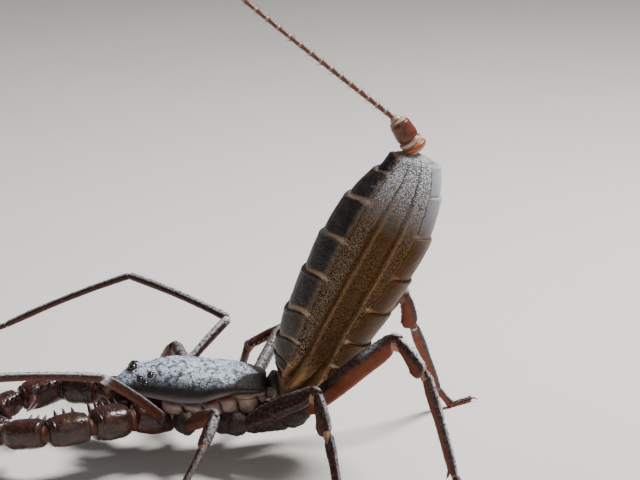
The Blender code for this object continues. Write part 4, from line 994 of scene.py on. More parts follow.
def carapace_shape():
    """The shield: a squarish half ellipse of changing width and height, with a beaded rim below."""
    rows, columns = CARAPACE_GRID
    share = np.linspace(0, 1, rows)
    first, last = CARAPACE_ROWS[0][0], CARAPACE_ROWS[-1][0]
    x = first + (last - first) * (share - 0.09 * np.sin(2 * math.pi * share))
    half_width, rim, dome = smooth_rows(CARAPACE_ROWS, x).T
    path = np.stack([x, np.zeros_like(x), rim], axis=1)
    lips = CARAPACE_LIP * (0.55 + 0.45 * step(x, first, first + 0.8) * (1 - step(x, last - 0.8, last)))
    angle = turns(columns)
    sine, cosine = squarish(np.sin(angle), CARAPACE_POWER), squarish(np.cos(angle), CARAPACE_POWER)
    height = np.where(cosine > 0, dome[:, None], lips[:, None]) * cosine
    rings = path[:, None] + LEFT * (half_width[:, None] * sine)[..., None] + UP * height[..., None]
    fold = np.degrees(np.minimum(angle, 2 * math.pi - angle))
    upper = step(cosine, 0.05, 0.3)
    rings[..., 2] += carapace_relief(rings[..., 0], rings[..., 1]) * upper
    bead = 0.13 * hill(fold, 91, 5.5) - 0.09 * hill(fold, 80, 4)
    out = unit(rings - path[:, None] + 1e-9)
    rings += out * (bead + upper * lumps(rings, (0.05, 1.1, 3), (0.03, 0.45, 5)))[..., None]
    tips = [rings[0].mean(axis=0) - np.array([0.08, 0, 0]), rings[-1].mean(axis=0) + np.array([0.06, 0, 0])]
    rim_line = hill(fold, 90, 6) * (1 - step(x, *RIM_FADE))[:, None]
    # the top carries a share of painted silvery highlight
    return tube(rings + ORIGIN, np.array(tips) + ORIGIN, rim=rim_line,
                bloom=carapace_painted_sheen(*np.moveaxis(rings, -1, 0)) * upper)


def carapace_painted_sheen(x, y, z):
    """Painted silvery highlight: full above, none near the rim and behind a slanting line over the shaded
    rear.
    """
    half_width, rim, dome = np.moveaxis(smooth_rows(CARAPACE_ROWS, x), -1, 0)
    share = (z - rim) / np.maximum(dome, 0.3)
    inward = np.clip(1 - np.abs(y) / half_width, 0, 1)
    return step(share, 0.32, 0.8) * (1 - step(x + 5.4 - 3.3 * inward, -0.5, 0.5))


def carapace_grains(draw):
    """Fine grains on the carapace, on a jittered square net over its plan."""
    pitch = sizes().shield_grain_pitch / MM
    x, y = np.meshgrid(np.arange(-20.2, -1.1, pitch), np.arange(-5.3, 5.3, pitch), indexing="ij")
    x, y = (value.ravel() + draw.uniform(-JITTER, JITTER, value.size) * pitch for value in (x, y))
    half_width = smooth_rows(CARAPACE_ROWS, x)[:, 0]
    clear = np.hypot(x - MEDIAN_EYE[0], np.abs(y) - MEDIAN_EYE[1]) > 0.75
    clear &= np.hypot(x - LATERAL_EYE[0], np.abs(y) - LATERAL_EYE[1]) > 1.1
    keep = (np.abs(y) < half_width * 0.97) & clear & (draw.random(x.size) < 0.9)
    x, y = x[keep], y[keep]
    normals = carapace_normal(x, y)
    centres = np.stack([x, y, carapace_height(x, y)], -1) + ORIGIN
    radii = draw.uniform(0.07, 0.13, len(x))
    places = np.stack([(x + 21) / 21, (y + 6) / 12], -1)
    grains = domes(centres, normals, radii, radii * draw.uniform(0.6, 0.95, len(x)), places)
    # the grains carry the same painted highlight as the carapace under them
    grains.values["bloom"] = np.repeat(carapace_painted_sheen(x, y, centres[:, 2]), len(grains.points) // len(x))
    return grains


def eye_places():
    """Place along, place aside and radius of each eye on one side."""
    x, y, radius = LATERAL_EYE
    return [MEDIAN_EYE] + [(x + dx * LATERAL_EYE_SPREAD, y + dy * LATERAL_EYE_SPREAD, radius)
                           for dx, dy in LATERAL_EYE_CORNERS]


def eye_seat(x, y):
    """The point of the carapace's surface under an eye, and two directions along it with the way out."""
    x, y = np.array([x]), np.array([y])
    return place(x[0], y[0], carapace_height(x, y)[0]), frames(carapace_normal(x, y))[0]


def eye_ball(x, y, radius):
    """A ball sunk by a share of its radius below the carapace's surface."""
    seat, basis = eye_seat(x, y)
    return ball(seat - basis[2] * radius * EYE_SINK, radius, basis)


def eye_hoop(x, y, radius):
    """A low swollen ring round an eye: a circle of radius r carrying a small circle."""
    seat, basis = eye_seat(x, y)
    around, small = (turns(count) for count in HOOP_GRID)
    thick = radius * HOOP_THICKNESS
    away = radius * HOOP_RADIUS + thick * np.cos(small)
    local = np.stack([np.cos(around)[:, None] * away, np.sin(around)[:, None] * away,
                      np.broadcast_to(thick * np.sin(small) * 0.9, HOOP_GRID)], -1)
    faces = ring_faces(HOOP_GRID[0] + 1, HOOP_GRID[1])[:, ::-1] % math.prod(HOOP_GRID)
    return Shape((seat + local @ basis).reshape(-1, 3), [faces])


# abdomen

def abdomen_knots():
    """Length along the axis up to each row of the abdomen."""
    rows = np.array(ABDOMEN_ROWS)
    return np.concatenate([[0], np.cumsum(np.hypot(*np.diff(rows[:, :2], axis=0).T))])


def abdomen_sizes(s):
    """Axis x and z, half depth and half width at lengths along the axis."""
    return smooth_rows(np.column_stack([abdomen_knots(), np.array(ABDOMEN_ROWS)]), s)


def abdomen_surface(s, angle, height):
    """A point of the abdomen, and the way out of its surface there.

    It is axis + side * (half width + height) sin a + back * (half depth + height) cos a. The angle a
    is counted in degrees from the middle of the back, and back is at right angles to the axis and
    to the animal's side.
    """
    s, angle, height = np.broadcast_arrays(np.asarray(s, float), angle, height)
    size = abdomen_sizes(s)
    reach = 0.05
    change = abdomen_sizes(s + reach) - abdomen_sizes(s - reach)
    change = change / np.maximum(np.linalg.norm(change[..., :2], axis=-1, keepdims=True), 1e-9)
    tangent = np.stack([change[..., 0], np.zeros_like(s), change[..., 1]], -1)
    back = np.cross(LEFT, tangent)
    turn = np.radians(angle)
    sine, cosine = np.sin(turn)[..., None], np.cos(turn)[..., None]
    centre = np.stack([size[..., 0], np.zeros_like(s), size[..., 1]], -1) + ORIGIN
    deep, wide = (size[..., 2] + height)[..., None], (size[..., 3] + height)[..., None]
    out = unit(LEFT * sine / wide + back * cosine / deep)
    taper = (change[..., 2] * np.cos(turn) ** 2 + change[..., 3] * np.sin(turn) ** 2)[..., None]
    return centre + LEFT * wide * sine + back * deep * cosine, unit(out - tangent * taper)


def folded(angle):
    """Degrees from the middle of the back on either side."""
    angle = np.asarray(angle, float) % 360
    return np.minimum(angle, 360 - angle)


def band_shift(s, away):
    """How far towards the tip the bands lie at an angle: lean * sin^2 of a quarter turn per lean angle."""
    turn = np.clip(away / BAND_LEAN_ANGLE, 0, 2) * math.pi / 2
    ends = np.clip(np.minimum(s - 0.35, SEGMENT_ENDS[-1] - 0.35 - s) / 2, 0, 1)
    return BAND_LEAN * np.sin(turn) ** 2 * ends


def flank_values(s, angle):
    """Height in mm of the soft skin and its shares of each colour, from hills across its angle.

    Each groove is a hill of depth `groove_depth` downwards with a rope-like ridge beside it; at
    the base the folds between the grooves swell into rounded lobes; a band is a narrow valley
    across the axis that runs out beside the plates.
    """
    away = folded(angle)
    tergite = smooth_rows(TERGITE_ANGLES, s)[..., 0]
    sternite = 180 - smooth_rows(STERNITE_ANGLES, s)[..., 0]
    present = step(s, 1.2, 4) * (1 - step(s, 31.5, 35.5))
    near_base = 1 - step(s, 3.5, 10)
    deep = sizes().groove_depth / MM
    wide = 1 + 0.9 * near_base
    height, amber, ridge, line = 0.0, 0.0, 0.0, 0.0
    wander = 0.25 * np.sin(s * 0.9) + 0.12 * np.sin(s * 2.3 + 1) - 7.0 * (1 - step(s, 3, 12))
    for groove in GROOVES:
        cut = hill(away, groove + wander, 1.6 * wide)
        bank = hill(away, groove + wander + RIDGE_SHIFT * wide, 2.3 * wide)
        height = height - deep * (1 + 2.0 * near_base) * present * cut + deep * 0.8 * wide * present * bank
        amber = amber + present * hill(away, groove + wander - 0.5, 2.0 * wide)
        ridge = ridge + present * bank * (1 - 0.5 * near_base)
        line = line + hill(away, groove + wander, 1.3) * step(s, 29, 33)
    lobes = sum(tall * hill(away, middle, half) for tall, middle, half in BASE_LOBES)
    height = height + 0.95 * lobes * hill(s, 4.1, 1.7) - 0.35 * hill(s, 6.9, 0.7) * lobes
    edges = hill(away, sternite - 1, 2.0) * step(s, 3, 7)
    height = height - 0.08 * edges - 0.10 * hill(away, tergite + 1, 2.0)
    amber = amber + 0.35 * edges * (1 - step(s, 26, 33))
    soft = step(away, tergite - 2, tergite + 3) * (1 - step(away, sternite - 3, sternite + 2))
    shifted = s - band_shift(s, away)
    reach = hill(np.maximum(away - tergite, 0), 0, 7.5) + hill(np.maximum(sternite - away, 0), 0, 6.0)
    taper = 0.13 + 0.17 * np.clip(reach, 0, 1)
    rings = sum(hill(shifted, end, taper) for end in SEGMENT_ENDS[1:])
    height = height - 0.06 * rings * soft * (1 - 0.6 * ridge) * np.clip(reach + 0.3, 0, 1)
    bands = rings * np.clip(reach, 0, 1) + hill(shifted, SEGMENT_ENDS[0], 0.35)
    fold = np.clip(soft * (1 - step(s, 5.0, 8.5)) * (0.25 + 0.85 * lobes), 0, 1)
    return height, {"amber": np.clip(amber + line, 0, 1) * 0.9, "ridge": np.clip(ridge, 0, 1) * 0.8,
                    "band": np.clip(bands, 0, 1) * 0.9, "fold": fold,
                    "rust": step(away, 112, 126) * (1 - step(s, 27, 31)),
                    "warm": step(away, 64, 84) * (1 - 0.4 * near_base) * np.ones_like(s),
                    "silver": silver(s, away) * np.clip(1 - 0.75 * line, 0, 1)}


def silver(s, away):
    """Share of painted silvery highlight: from nothing at two thirds of the length to full at the tip."""
    return step(s, 26, 36) * step(away, 20, 60)


def skin_points(s, angle):
    """The abdomen's skin with its folds: points, the way out, and the shares of each colour.

    Beyond the axis's end, s counts the share of a quarter turn over a dome: with c the end of the
    axis and a its direction, a point p of the last ring becomes c + (p - c) cos + a * height * sin.
    """
    last = abdomen_knots()[-1]
    along = np.minimum(s, last)
    height, values = flank_values(along, angle)
    points, out = abdomen_surface(along, angle, 0.0)
    height = height - SKIN_SINK + lumps(points, (0.03, 0.9, 1), (0.02, 0.4, 2))
    height = height * np.minimum(abdomen_sizes(along)[..., 3] / 4, 1)
    shoulder = np.clip((along - last) / TIP_ROUNDING + 1, 0, 1)
    height = height - TIP_ROUNDING * (1 - np.sqrt(1 - 0.96 * shoulder**2))
    points = points + out * height[..., None]
    ends = abdomen_sizes(np.array([last - 0.5, last]))
    before, centre = (place(x, 0, z) for x, z in ends[:, :2])
    axis = unit(centre - before)
    turn = (np.clip(s - last, 0, 1) * math.pi / 2)[..., None]
    dome = centre + (points - centre) * np.cos(turn) + axis * TIP_DOME * np.sin(turn)
    points = np.where(turn > 0, dome, points)
    return points, unit(out * np.cos(turn) + axis * np.sin(turn)), values


def abdomen_skin():
    """The soft skin of the whole abdomen, closed at its tip by a dome."""
    rows, columns = SKIN_GRID
    last = abdomen_knots()[-1]
    s = np.concatenate([np.linspace(0.35, last - 1, rows), last - np.linspace(0.96, 0, 24)[:-1],
                        last + np.linspace(0, 0.97, 18)])
    s = s[:, None] * np.ones(columns)
    angle = np.arange(columns) * 360 / columns * np.ones((len(s), 1))
    points, _, values = skin_points(s, angle)
    return tube(points, [points[0].mean(axis=0), points[-1].mean(axis=0)], **values)


def abdomen_plate(front, rear, half_angle, middle):
    """One back or belly plate between two lengths along the axis.

    With u from -1 to 1 along and v from -1 to 1 across, the plate's ends are drawn in by |v|^9 at
    its corners, its top rises evenly from front to rear, and it falls to the skin as 1 - |v|^7
    towards its sides. It follows the bands' lean. Its underside lies 0.2 mm below the skin.
    """
    rows, columns = PLATE_GRID
    u, v = np.meshgrid(np.sin(np.linspace(-90, 90, rows) * math.pi / 180), np.linspace(-1, 1, columns),
                       indexing="ij")
    v = v * (1 - 0.06 * (1 - np.abs(v)))
    half = (rear - front) / 2
    s = front + half + u * half * (1 - 0.1 * np.abs(v) ** 9)
    spread = smooth_rows(half_angle, s)[..., 0]
    ragged = 0.03 * np.sin(s * 5.1 + front) * np.sin(s * 2.3) * np.abs(v) ** 4
    away = np.abs(v) * spread * (1 - 0.02 * np.abs(u) ** 6 + ragged)
    angle = middle + np.sign(v) * away
    s = s + band_shift(s, folded(angle))
    rise = PLATE_FRONT + (PLATE_REAR - PLATE_FRONT) * (u + 1) / 2
    border = np.minimum(1 - np.abs(u) ** 30, 1 - np.abs(v) ** 7)
    scale = min(1.0, (rear - front) / 2.4)
    points, out = abdomen_surface(s, angle, 0.0)
    height = (rise * border * scale + lumps(points, (0.03, 0.9, 4), (0.018, 0.4, 6))
              + 0.04 * scale * hill(u, 0.9, 0.12) * border)
    edge = np.clip(np.maximum(np.abs(u) ** 18, np.abs(v) ** 22), 0, 1)
    brown = np.clip(0.55 * step(np.abs(v), 0.8, 0.97) + 0.7 * (1 - step(s, 5, 19)), 0, 1)
    return shell(points + out * height[..., None], points - out * PLATE_UNDER, edge=edge, brown=brown,
                 silver=silver(s, folded(angle)), side=step(np.abs(v), 0.84, 1.0))


def flank_grains(sign, draw):
    """Black grains of one flank on a jittered net, thin on the ridges and in the grooves."""
    pitch, largest = sizes().grain_pitch / MM, sizes().grain_radius / MM
    last = abdomen_knots()[-1]
    s, share = np.meshgrid(np.arange(2.4, last + 0.85, pitch), np.arange(0, 1, pitch / FLANK_WIDTH),
                           indexing="ij")
    s = s.ravel() + draw.uniform(-JITTER, JITTER, s.size) * pitch
    share = share.ravel() + draw.uniform(-JITTER, JITTER, share.size) * pitch / FLANK_WIDTH
    low = smooth_rows(TERGITE_ANGLES, s)[:, 0] - 1.5
    high = 180 - smooth_rows(STERNITE_ANGLES, s)[:, 0] - 2.5
    angle = low + (high - low) * share
    _, values = flank_values(s, angle)
    radius = abdomen_sizes(s)[:, 3] * np.cos(np.clip(s - last, 0, 1) * math.pi / 2)
    room = np.radians(high - low) * radius / FLANK_WIDTH
    wish = ((1 - 0.8 * values["ridge"]) * (1 - 0.5 * values["amber"]) * (1 - values["band"]) * room
            * (0.12 + 0.88 * step(s, 5, 10)))
    keep = (draw.random(s.size) < wish * (1.3 + 0.5 * values["warm"])) & (share > 0) & (share < 1)
    s, angle = s[keep], angle[keep]
    bearing = angle if sign < 0 else 360 - angle
    points, out, values = skin_points(s, bearing)
    radii = largest * draw.uniform(0.6, 1.0, len(s)) * (1 - 0.3 * values["ridge"])
    places = np.stack([s / last, bearing / 360], -1)
    heights = radii * draw.uniform(0.6, 0.9, len(s))
    grains = domes(points + out * (radii * 0.25)[:, None], out, radii, heights, places, stretch=1.35)
    # the grains carry the painted silvery highlight of the skin under them
    grains.values["silver"] = np.repeat(values["silver"], len(grains.points) // len(s))
    return grains


# tip and whip

def pygidium_shape():
    """The three tip rings in one turned piece: a flared orange one, a cream band, a long red-brown one."""
    base, tip = (place(*point) for point in PYGIDIUM)
    basis = frames((tip - base)[None])[0]
    share = np.linspace(0, 1, 110)
    radius = smooth_rows(PYGIDIUM_OUTLINE, share)[:, 0]
    radius = np.maximum(radius + 0.03 * hill(share, 0.17, 0.03) + 0.03 * hill(share, 0.33, 0.02), 0.3)
    turn = turns(72)[:, None]
    middle = base + (tip - base) * share[:, None]
    rings = middle[:, None] + (np.cos(turn) * basis[1] + np.sin(turn) * basis[0]) * radius[:, None, None]
    cream = 1 - step(share, 0.03, 0.09) + hill(share, 0.29, 0.055) + 0.8 * step(share, 0.9, 0.97)
    orange = step(share, 0.06, 0.1) * (1 - step(share, 0.2, 0.25))
    return tube(rings, middle[[0, -1]], ring=np.clip(cream, 0, 1)[:, None], orange=orange[:, None])


def rounded(rows):
    """Rows of share and radius as rows of share, half width, rise and drop."""
    return [(t, radius, radius, radius) for t, radius in rows]


def whip_collar():
    """A pale collar from the last tip ring's shoulder to the whip's first joint."""
    return Limb(place(*COLLAR_START), place(*FLAGELLUM_ROOT), LEFT, rounded(COLLAR_ROWS), 36, 30, blunt=0.3,
                ring=lambda t, angle: 0.25 + 0.6 * hill(t, 0.8, 0.2)).shape


def flagellum_point(s):
    """The whip's middle line: straight, then bending up and aside by the square of the length."""
    bearing = math.radians(FLAGELLUM_BEARING)
    along = np.array([math.cos(bearing), 0, math.sin(bearing)])
    stray = FLAGELLUM_BEND * np.maximum(s / FLAGELLUM_LENGTH - 0.35, 0)[:, None] ** 2
    return place(*FLAGELLUM_ROOT) + along * s[:, None] + stray * np.array([0.35, 0.6, 0.9])


def flagellum_ends():
    """Ends of the whip's joints, which grow evenly longer towards its tip."""
    first, last = FLAGELLUM_JOINTS
    count = round(2 * FLAGELLUM_LENGTH / (first + last))
    lengths = np.linspace(first, last, count)
    return np.concatenate([[0], np.cumsum(lengths * FLAGELLUM_LENGTH / lengths.sum())])


def flagellum_shape(low, high, ends):
    """A run of whip joints: each is waisted and swells to a ringed end."""
    s, radius, ring = [], [], []
    for index in range(low, high):
        start, end = ends[index], ends[index + 1]
        t = np.linspace(0.02, 0.98, 14)
        swell = 0.86 + 0.10 * hill(t, 0.06, 0.12) + 0.24 * hill(t, 0.93, 0.11) - 0.05 * hill(t, 0.4, 0.3)
        swell[[0, -1]] *= (0.8, 0.82)
        s.append(start + (end - start) * t)
        radius.append(np.interp(s[-1], [0, FLAGELLUM_LENGTH], FLAGELLUM_RADII) * swell)
        ring.append(hill(t, 0.95, 0.09) * 0.85 + hill(t, 0.03, 0.05) * 0.4)
    s, radius, ring = (np.concatenate(values) for values in (s, radius, ring))
    path = flagellum_point(s)
    rings = sections(path, LEFT, radius, radius, radius, 18)
    return tube(rings, [path[0], path[-1]], ring=np.clip(ring, 0, 1)[:, None])


def whip_bristles(draw):
    """Whorls of stiff bristles near the end of each whip joint."""
    ends = flagellum_ends()
    joints = len(ends) - 1
    s = np.repeat(ends[1:] - 0.3, WHORL) + draw.uniform(-0.55, 0.15, joints * WHORL)
    s = np.clip(s, 0.1, FLAGELLUM_LENGTH - 0.05)
    path = flagellum_point(s)
    axis = unit(flagellum_point(s + 0.1) - path)
    basis = frames(axis)
    turn = np.tile(turns(WHORL), joints) + draw.uniform(-0.3, 0.3, len(s))
    out = np.cos(turn)[:, None] * basis[:, 0] + np.sin(turn)[:, None] * basis[:, 1]
    radius = np.interp(s, [0, FLAGELLUM_LENGTH], FLAGELLUM_RADII)
    lengths = sizes().whip_bristle / MM * draw.uniform(0.4, 1.0, len(s))
    places = np.stack([s / FLAGELLUM_LENGTH, turn / (2 * math.pi) % 1], -1)
    return bristles(path + out * radius[:, None], out * 0.75 + axis * 0.65, lengths, WHIP_BRISTLE_RADIUS,
                    axis * 0.25, places)


# limbs

def leg_joints(leg, side):
    """Joints of a walking leg from its femur's root to its claws."""
    sign = SIDES[side]
    femur, patella, tibia, basitarsus, telotarsus = LEG_LENGTHS[leg]
    femur_way, patella_way, tibia_bearing, foot_bearing = WALKING_POSES[(leg, side)]
    x, y, z = FEMUR_ROOTS[leg]
    root = place(x, y * sign, z)
    knee = root + femur * heading(*femur_way, sign)
    shin = knee + patella * heading(*patella_way, sign)
    slope = math.degrees(math.asin((ANKLE_HEIGHTS[leg] - shin[2]) / tibia))
    ankle = shin + tibia * heading(tibia_bearing, slope, sign)
    slope = math.degrees(math.asin((SOLE_HEIGHTS[leg] - ANKLE_HEIGHTS[leg]) / basitarsus))
    heel = ankle + basitarsus * heading(foot_bearing, slope, sign)
    toe = heel + telotarsus * heading(foot_bearing, 0, sign)
    return [root, knee, shin, ankle, heel, toe]


def wrinkled(amount, seed, pitch, below):
    """Relief of a leg: short ridges across its upper side, fewer below, and soft lumps all round."""
    def relief(t, angle, points):
        upper = np.maximum(step(np.cos(angle), -0.1, 0.5), below)
        length = np.linalg.norm(points[-1].mean(axis=0) - points[0].mean(axis=0))
        net = np.stack([t * length / pitch, np.sin(angle) * 1.3, np.cos(angle) * 1.3], -1)
        ridges = grain(net, 1.0, seed)
        collar = 0.05 * hill(t, 0.965, 0.03) + 0.03 * hill(t, 0.03, 0.03)
        return amount * (0.75 * upper + 0.2) * ridges + 0.02 * grain(points, 0.7, seed + 1) + collar
    return relief


def joint_skin(before, joint, after, radius, tight=0.0, reach=1.5):
    """Folded skin through a joint: a curve from one part into the next, ringed by small folds.

    The middle line is start (1 - t)^2 + middle 2 t (1 - t) + end t^2, and the radius carries a
    sine of five and a half waves.
    """
    t = np.linspace(0, 1, 26)[:, None]
    start, end = joint + unit(before - joint) * radius * reach, joint + unit(after - joint) * radius * reach
    middle = joint - UP * radius * 0.12
    path = start * (1 - t) ** 2 + middle * 2 * t * (1 - t) + end * t**2
    size = radius * (0.70 + 0.12 * np.sin(math.pi * t[:, 0]) + 0.04 * np.sin(t[:, 0] * math.pi * 11))
    side = unit(np.cross(before - joint, after - joint))
    return tube(sections(path, side, size * 0.8, size, size, 24), [path[0], path[-1]], tight=tight)


def scaled(rows, wide, tall):
    """Rows in shares of a size turned into mm: half widths by one size, rises and drops by another."""
    return np.array(rows) * np.array([1, wide, tall, tall])


def femur_marks(leg, gleam):
    """A femur's painted highlight along its top, a second painted streak near the knee, and a pale line low
    on the third femur.
    """
    second = 0.6 if leg == 4 else 0.3
    seam = 0.7 if leg == 3 else 0.0
    return {
        "gleam": lambda t, angle: np.maximum(gleam * step(np.cos(angle), 0.6, 0.9),
                                             second * hill(t, 0.82, 0.1) * hill(np.cos(angle), 0.7, 0.22)),
        # pale line low on the third femur: partly a seam, partly a painted rim highlight
        "seam": lambda t, angle: seam * hill(np.cos(angle), -0.72, 0.03) * step(t, 0.35, 0.5),
    }


def walking_leg(leg, side, draw):
    """All pieces of one walking leg: its hard parts, its claws, its joint skin and its bristles."""
    joints = leg_joints(leg, side)
    root, knee, shin, ankle, heel, toe = joints
    d = LEG_DEPTHS[leg]
    across = unit(np.cross(ankle - shin, knee - root))
    if np.cross(across, unit(knee - root))[2] < 0:
        across = -across
    darkness = (0.0,) * 4 if (leg, side) == ORANGE_LEG else LEG_DARKNESS[leg]
    end = heel + unit(toe - heel) * 0.2 + UP * 0.12
    ends = (knee, shin, ankle, end - unit(end - ankle) * 0.2)
    made = []
    for index, (name, part) in enumerate(LEG_PARTS.items()):
        rows, gaps, slants, stations, columns, bow, power, blunt, wrinkles = part
        start, end = joints[index], ends[index]
        axis = unit(end - start)
        below = 0.8 if name == "femur" and leg == 3 else 0.0
        pitch = 0.32 if name == "femur" else 0.3
        gleam = LEG_PAINTED_GLEAM[leg][index]
        # painted highlight along the top of each part
        marks = {"gleam": lambda t, angle: gleam * step(np.cos(angle), 0.72, 0.95)}
        if name == "femur":
            marks = femur_marks(leg, gleam)
        limb = Limb(start + axis * gaps[0] * d, end - axis * gaps[1] * d, across,
                    scaled(rows, LEG_WIDTHS[leg][index] * d, d), columns, int(stations * LEG_FINENESS[leg]),
                    bow, power, blunt, wrinkled(wrinkles, leg + 10 * index, pitch, below), 0.0,
                    slants=np.array(slants) * d, dark=darkness[index], **marks)
        shapes = [limb.shape]
        if name in CAP_SIZES:
            bend = joints[index - 1:index + 2]
            shapes.append(knee_cap(*bend, CAP_SIZES[name] * d, darkness[index], gleam, CAP_PAINTED_GLEAM[side]))
        node = "tarsus" if name == "basitarsus" else name
        put(f"{name}_{leg}_{side}", joined(shapes), "leg", [f"leg{leg}_{node}_{side}"])
        if name == "patella":
            knobs = [knob(limb, t, darkness[index]) for t in KNOB_PLACES]
            put(f"patella_knobs_{leg}_{side}", joined(knobs), "leg")
        made.append(limb)
    made.append(telotarsus(leg, ankle, heel, toe, darkness[-1]))
    put(f"telotarsus_{leg}_{side}", made[-1].shape, "leg", [f"leg{leg}_tarsus_{side}"])
    put(f"claws_{leg}_{side}", leg_claws(joints, across, d), "claw")
    chain = [mirrored(COXA_ENDS[leg], SIDES[side])] + joints
    far = 0.7 if side == "right" else 0.0
    skins = [joint_skin(*chain[index:index + 3], radius * d, tight)
             for index, (radius, tight) in enumerate(zip(JOINT_RADII, (0.95, far, 0.15 + far, 0.6)))]
    put(f"joint_skin_{leg}_{side}", joined(skins), "joint")
    return limb_bristles(made, LEG_BRISTLES, sizes().leg_bristle / MM, draw)


def telotarsus(leg, ankle, heel, toe, dark):
    """The last part of a foot, in three ringed joints, bent flat to the floor from the basitarsus."""
    down, along = unit(heel - ankle), unit(toe - heel)
    path = np.array([heel - down * 0.1 + UP * 0.1, heel + along * 0.6 + UP * 0.02,
                     heel + (toe - heel) * 0.55, toe])
    half = SOLE_HEIGHTS[leg] + 0.14

    def ringed(t, angle, points):
        return -0.09 * (hill(t, 0.36, 0.028) + hill(t, 0.67, 0.028)) + 0.012 * grain(points, 0.4, leg)
    stations, columns = TELOTARSUS_GRID
    return Limb(path[0], toe, -unit(np.cross(UP, along)), scaled(TELOTARSUS_ROWS, half, half), columns,
                int(stations * LEG_FINENESS[leg]), relief=ringed, floor=0.0, path=path, dark=dark, gleam=0.0)


def leg_claws(joints, across, d):
    """A foot's two claws and its short middle one, and the two spurs at the end of the shin."""
    root, knee, shin, ankle, heel, toe = joints
    along, way = unit(toe - heel), unit(ankle - shin)
    flat = unit(np.cross(UP, along))
    ground = toe - UP * (toe[2] - 0.1)
    below = unit(np.cross(way, across))
    below = below if below @ unit(knee - root) < 0 else -below
    claws = [horn(toe - UP * 0.02, ground + along * 0.62, UP * 0.08, 0.1)]
    for turn in (-1, 1):
        claws.append(horn(toe - along * 0.1 + flat * turn * 0.16 + UP * 0.12,
                          ground + along * 1.15 + flat * turn * 0.7, UP * 0.3, 0.17))
        spur = ankle - way * 0.5 * d + below * 0.3 * d + across * turn * 0.2 * d
        claws.append(horn(spur, spur + below * 0.45 * d + way * 0.75 * d, 0.0, 0.13 * d))
    return joined(claws)


def knee_cap(before, joint, after, d, dark, gleam, low):
    """A smooth hard cap that rounds off the outer bend of a joint.

    It is an ellipsoid whose centre stands 0.1 d outside the joint, with half axes 0.76 d along the
    bend's chord, 0.47 d across and 0.58 d high. Its painted highlight begins at a share `low` of its height.
    """
    way_in, way_on = unit(joint - before), unit(after - joint)
    chord, rise = unit(way_in + way_on), unit(way_in - way_on)
    rows, columns = CAP_GRID
    height = np.cos(np.linspace(0, math.pi, rows)[1:-1, None])
    # painted highlight over the cap's upper share
    shine = 0.8 * gleam * step(height, low, 0.97)
    axes = np.stack([chord, np.cross(rise, chord), rise])
    return ball(joint + rise * 0.1 * d, CAP_RADII * d, axes, rows, columns, along=0.5, top=height, dark=dark,
                gleam=shine)


def knob(limb, t, dark):
    """A small bump on the lower edge of a limb part, with a faint painted highlight."""
    row = int(np.argmin(np.abs(limb.t[:, 0] - t)))
    column = limb.rings.shape[1] // 2
    spot, out = limb.rings[row, column], limb.out[row, column]
    return ball(spot, 0.13, frames(out[None])[0], 10, 14, along=0.5, top=-1.0, dark=dark, gleam=0.25)


def limb_bristles(limbs, counts, longest, draw):
    """Bristles that lean towards the tip of each limb part, and rise where they grow near the floor."""
    hairs = []
    for limb, count in zip(limbs, counts):
        roots, out, places = limb.spots(count, draw)
        lengths = longest * draw.uniform(0.35, 1.0, count)
        low = roots[:, 2] < LOW_BRISTLES
        ways = out * 0.75 + limb.axis * 0.7 + UP * np.where(low, 0.35, 0.0)[:, None]
        ways[:, 2] = np.where(low, np.abs(ways[:, 2]), ways[:, 2])
        bends = limb.axis * 0.2 * np.ones((count, 1))
        hairs.append(bristles(roots, ways, lengths, LIMB_BRISTLE_RADIUS, bends, places))
    return joined(hairs)


def feeler_leg(side, draw):
    """The thin first leg in four long parts, the last ringed into many short joints."""
    sign = SIDES[side]
    joints = [mirrored(FEMUR_ROOTS[1], sign)]
    for length, way in zip(FEELER_LENGTHS, FEELER_POSES[side]):
        joints.append(joints[-1] + length * heading(*way, sign))
    chain = [mirrored(COXA_ENDS[1], sign)] + joints
    made, skins = [], []
    for index, name in enumerate(FEELER_PARTS):
        start, end = joints[index:index + 2]
        r0, r1 = FEELER_RADII[index:index + 2]
        middle = (r0 + r1) / 2
        rows = [(0, r0 * 0.95, r0, r0), (0.06, r0 * 0.9, r0 * 0.98, r0 * 0.98),
                (0.5, middle * 0.86, middle, middle), (0.95, r1, r1 * 1.08, r1 * 1.08), (1, r1, r1, r1)]
        cuts = np.arange(1, 9) / 9 if name == "tarsus" else []
        knee_glint = 0.9 if name == "femur" else 0.0

        def relief(t, angle, points):
            rings = sum((hill(t, cut, 0.008) for cut in cuts), 0 * t)
            return -0.05 * rings + 0.02 * grain(points, 0.35, index) + 0.02 * hill(t, 0.975, 0.015)
        axis = unit(end - start)
        gap = r1 if name == "tarsus" else 0.55 * r1

        # painted highlight along the top and, on the femur, at the knee end
        def gleam(t, angle):
            return np.maximum(0.5 * step(np.cos(angle), 0.5, 0.85), knee_glint * hill(t, 1.0, 0.05))
        limb = Limb(start + axis * r0 * 0.55, end - axis * gap, unit(np.cross(axis, UP)), rows, 28, 120, 0.3,
                    relief=relief, dark=0.6, gleam=gleam)
        put(f"feeler_{name}_{side}", limb.shape, "leg", [f"leg1_{name}_{side}"])
        made.append(limb)
        skins.append(joint_skin(*chain[index:index + 3], r0, 0.7))
    put(f"feeler_joint_skin_{side}", joined(skins), "joint")
    return limb_bristles(made, FEELER_BRISTLES, sizes().leg_bristle / MM * 0.7, draw)


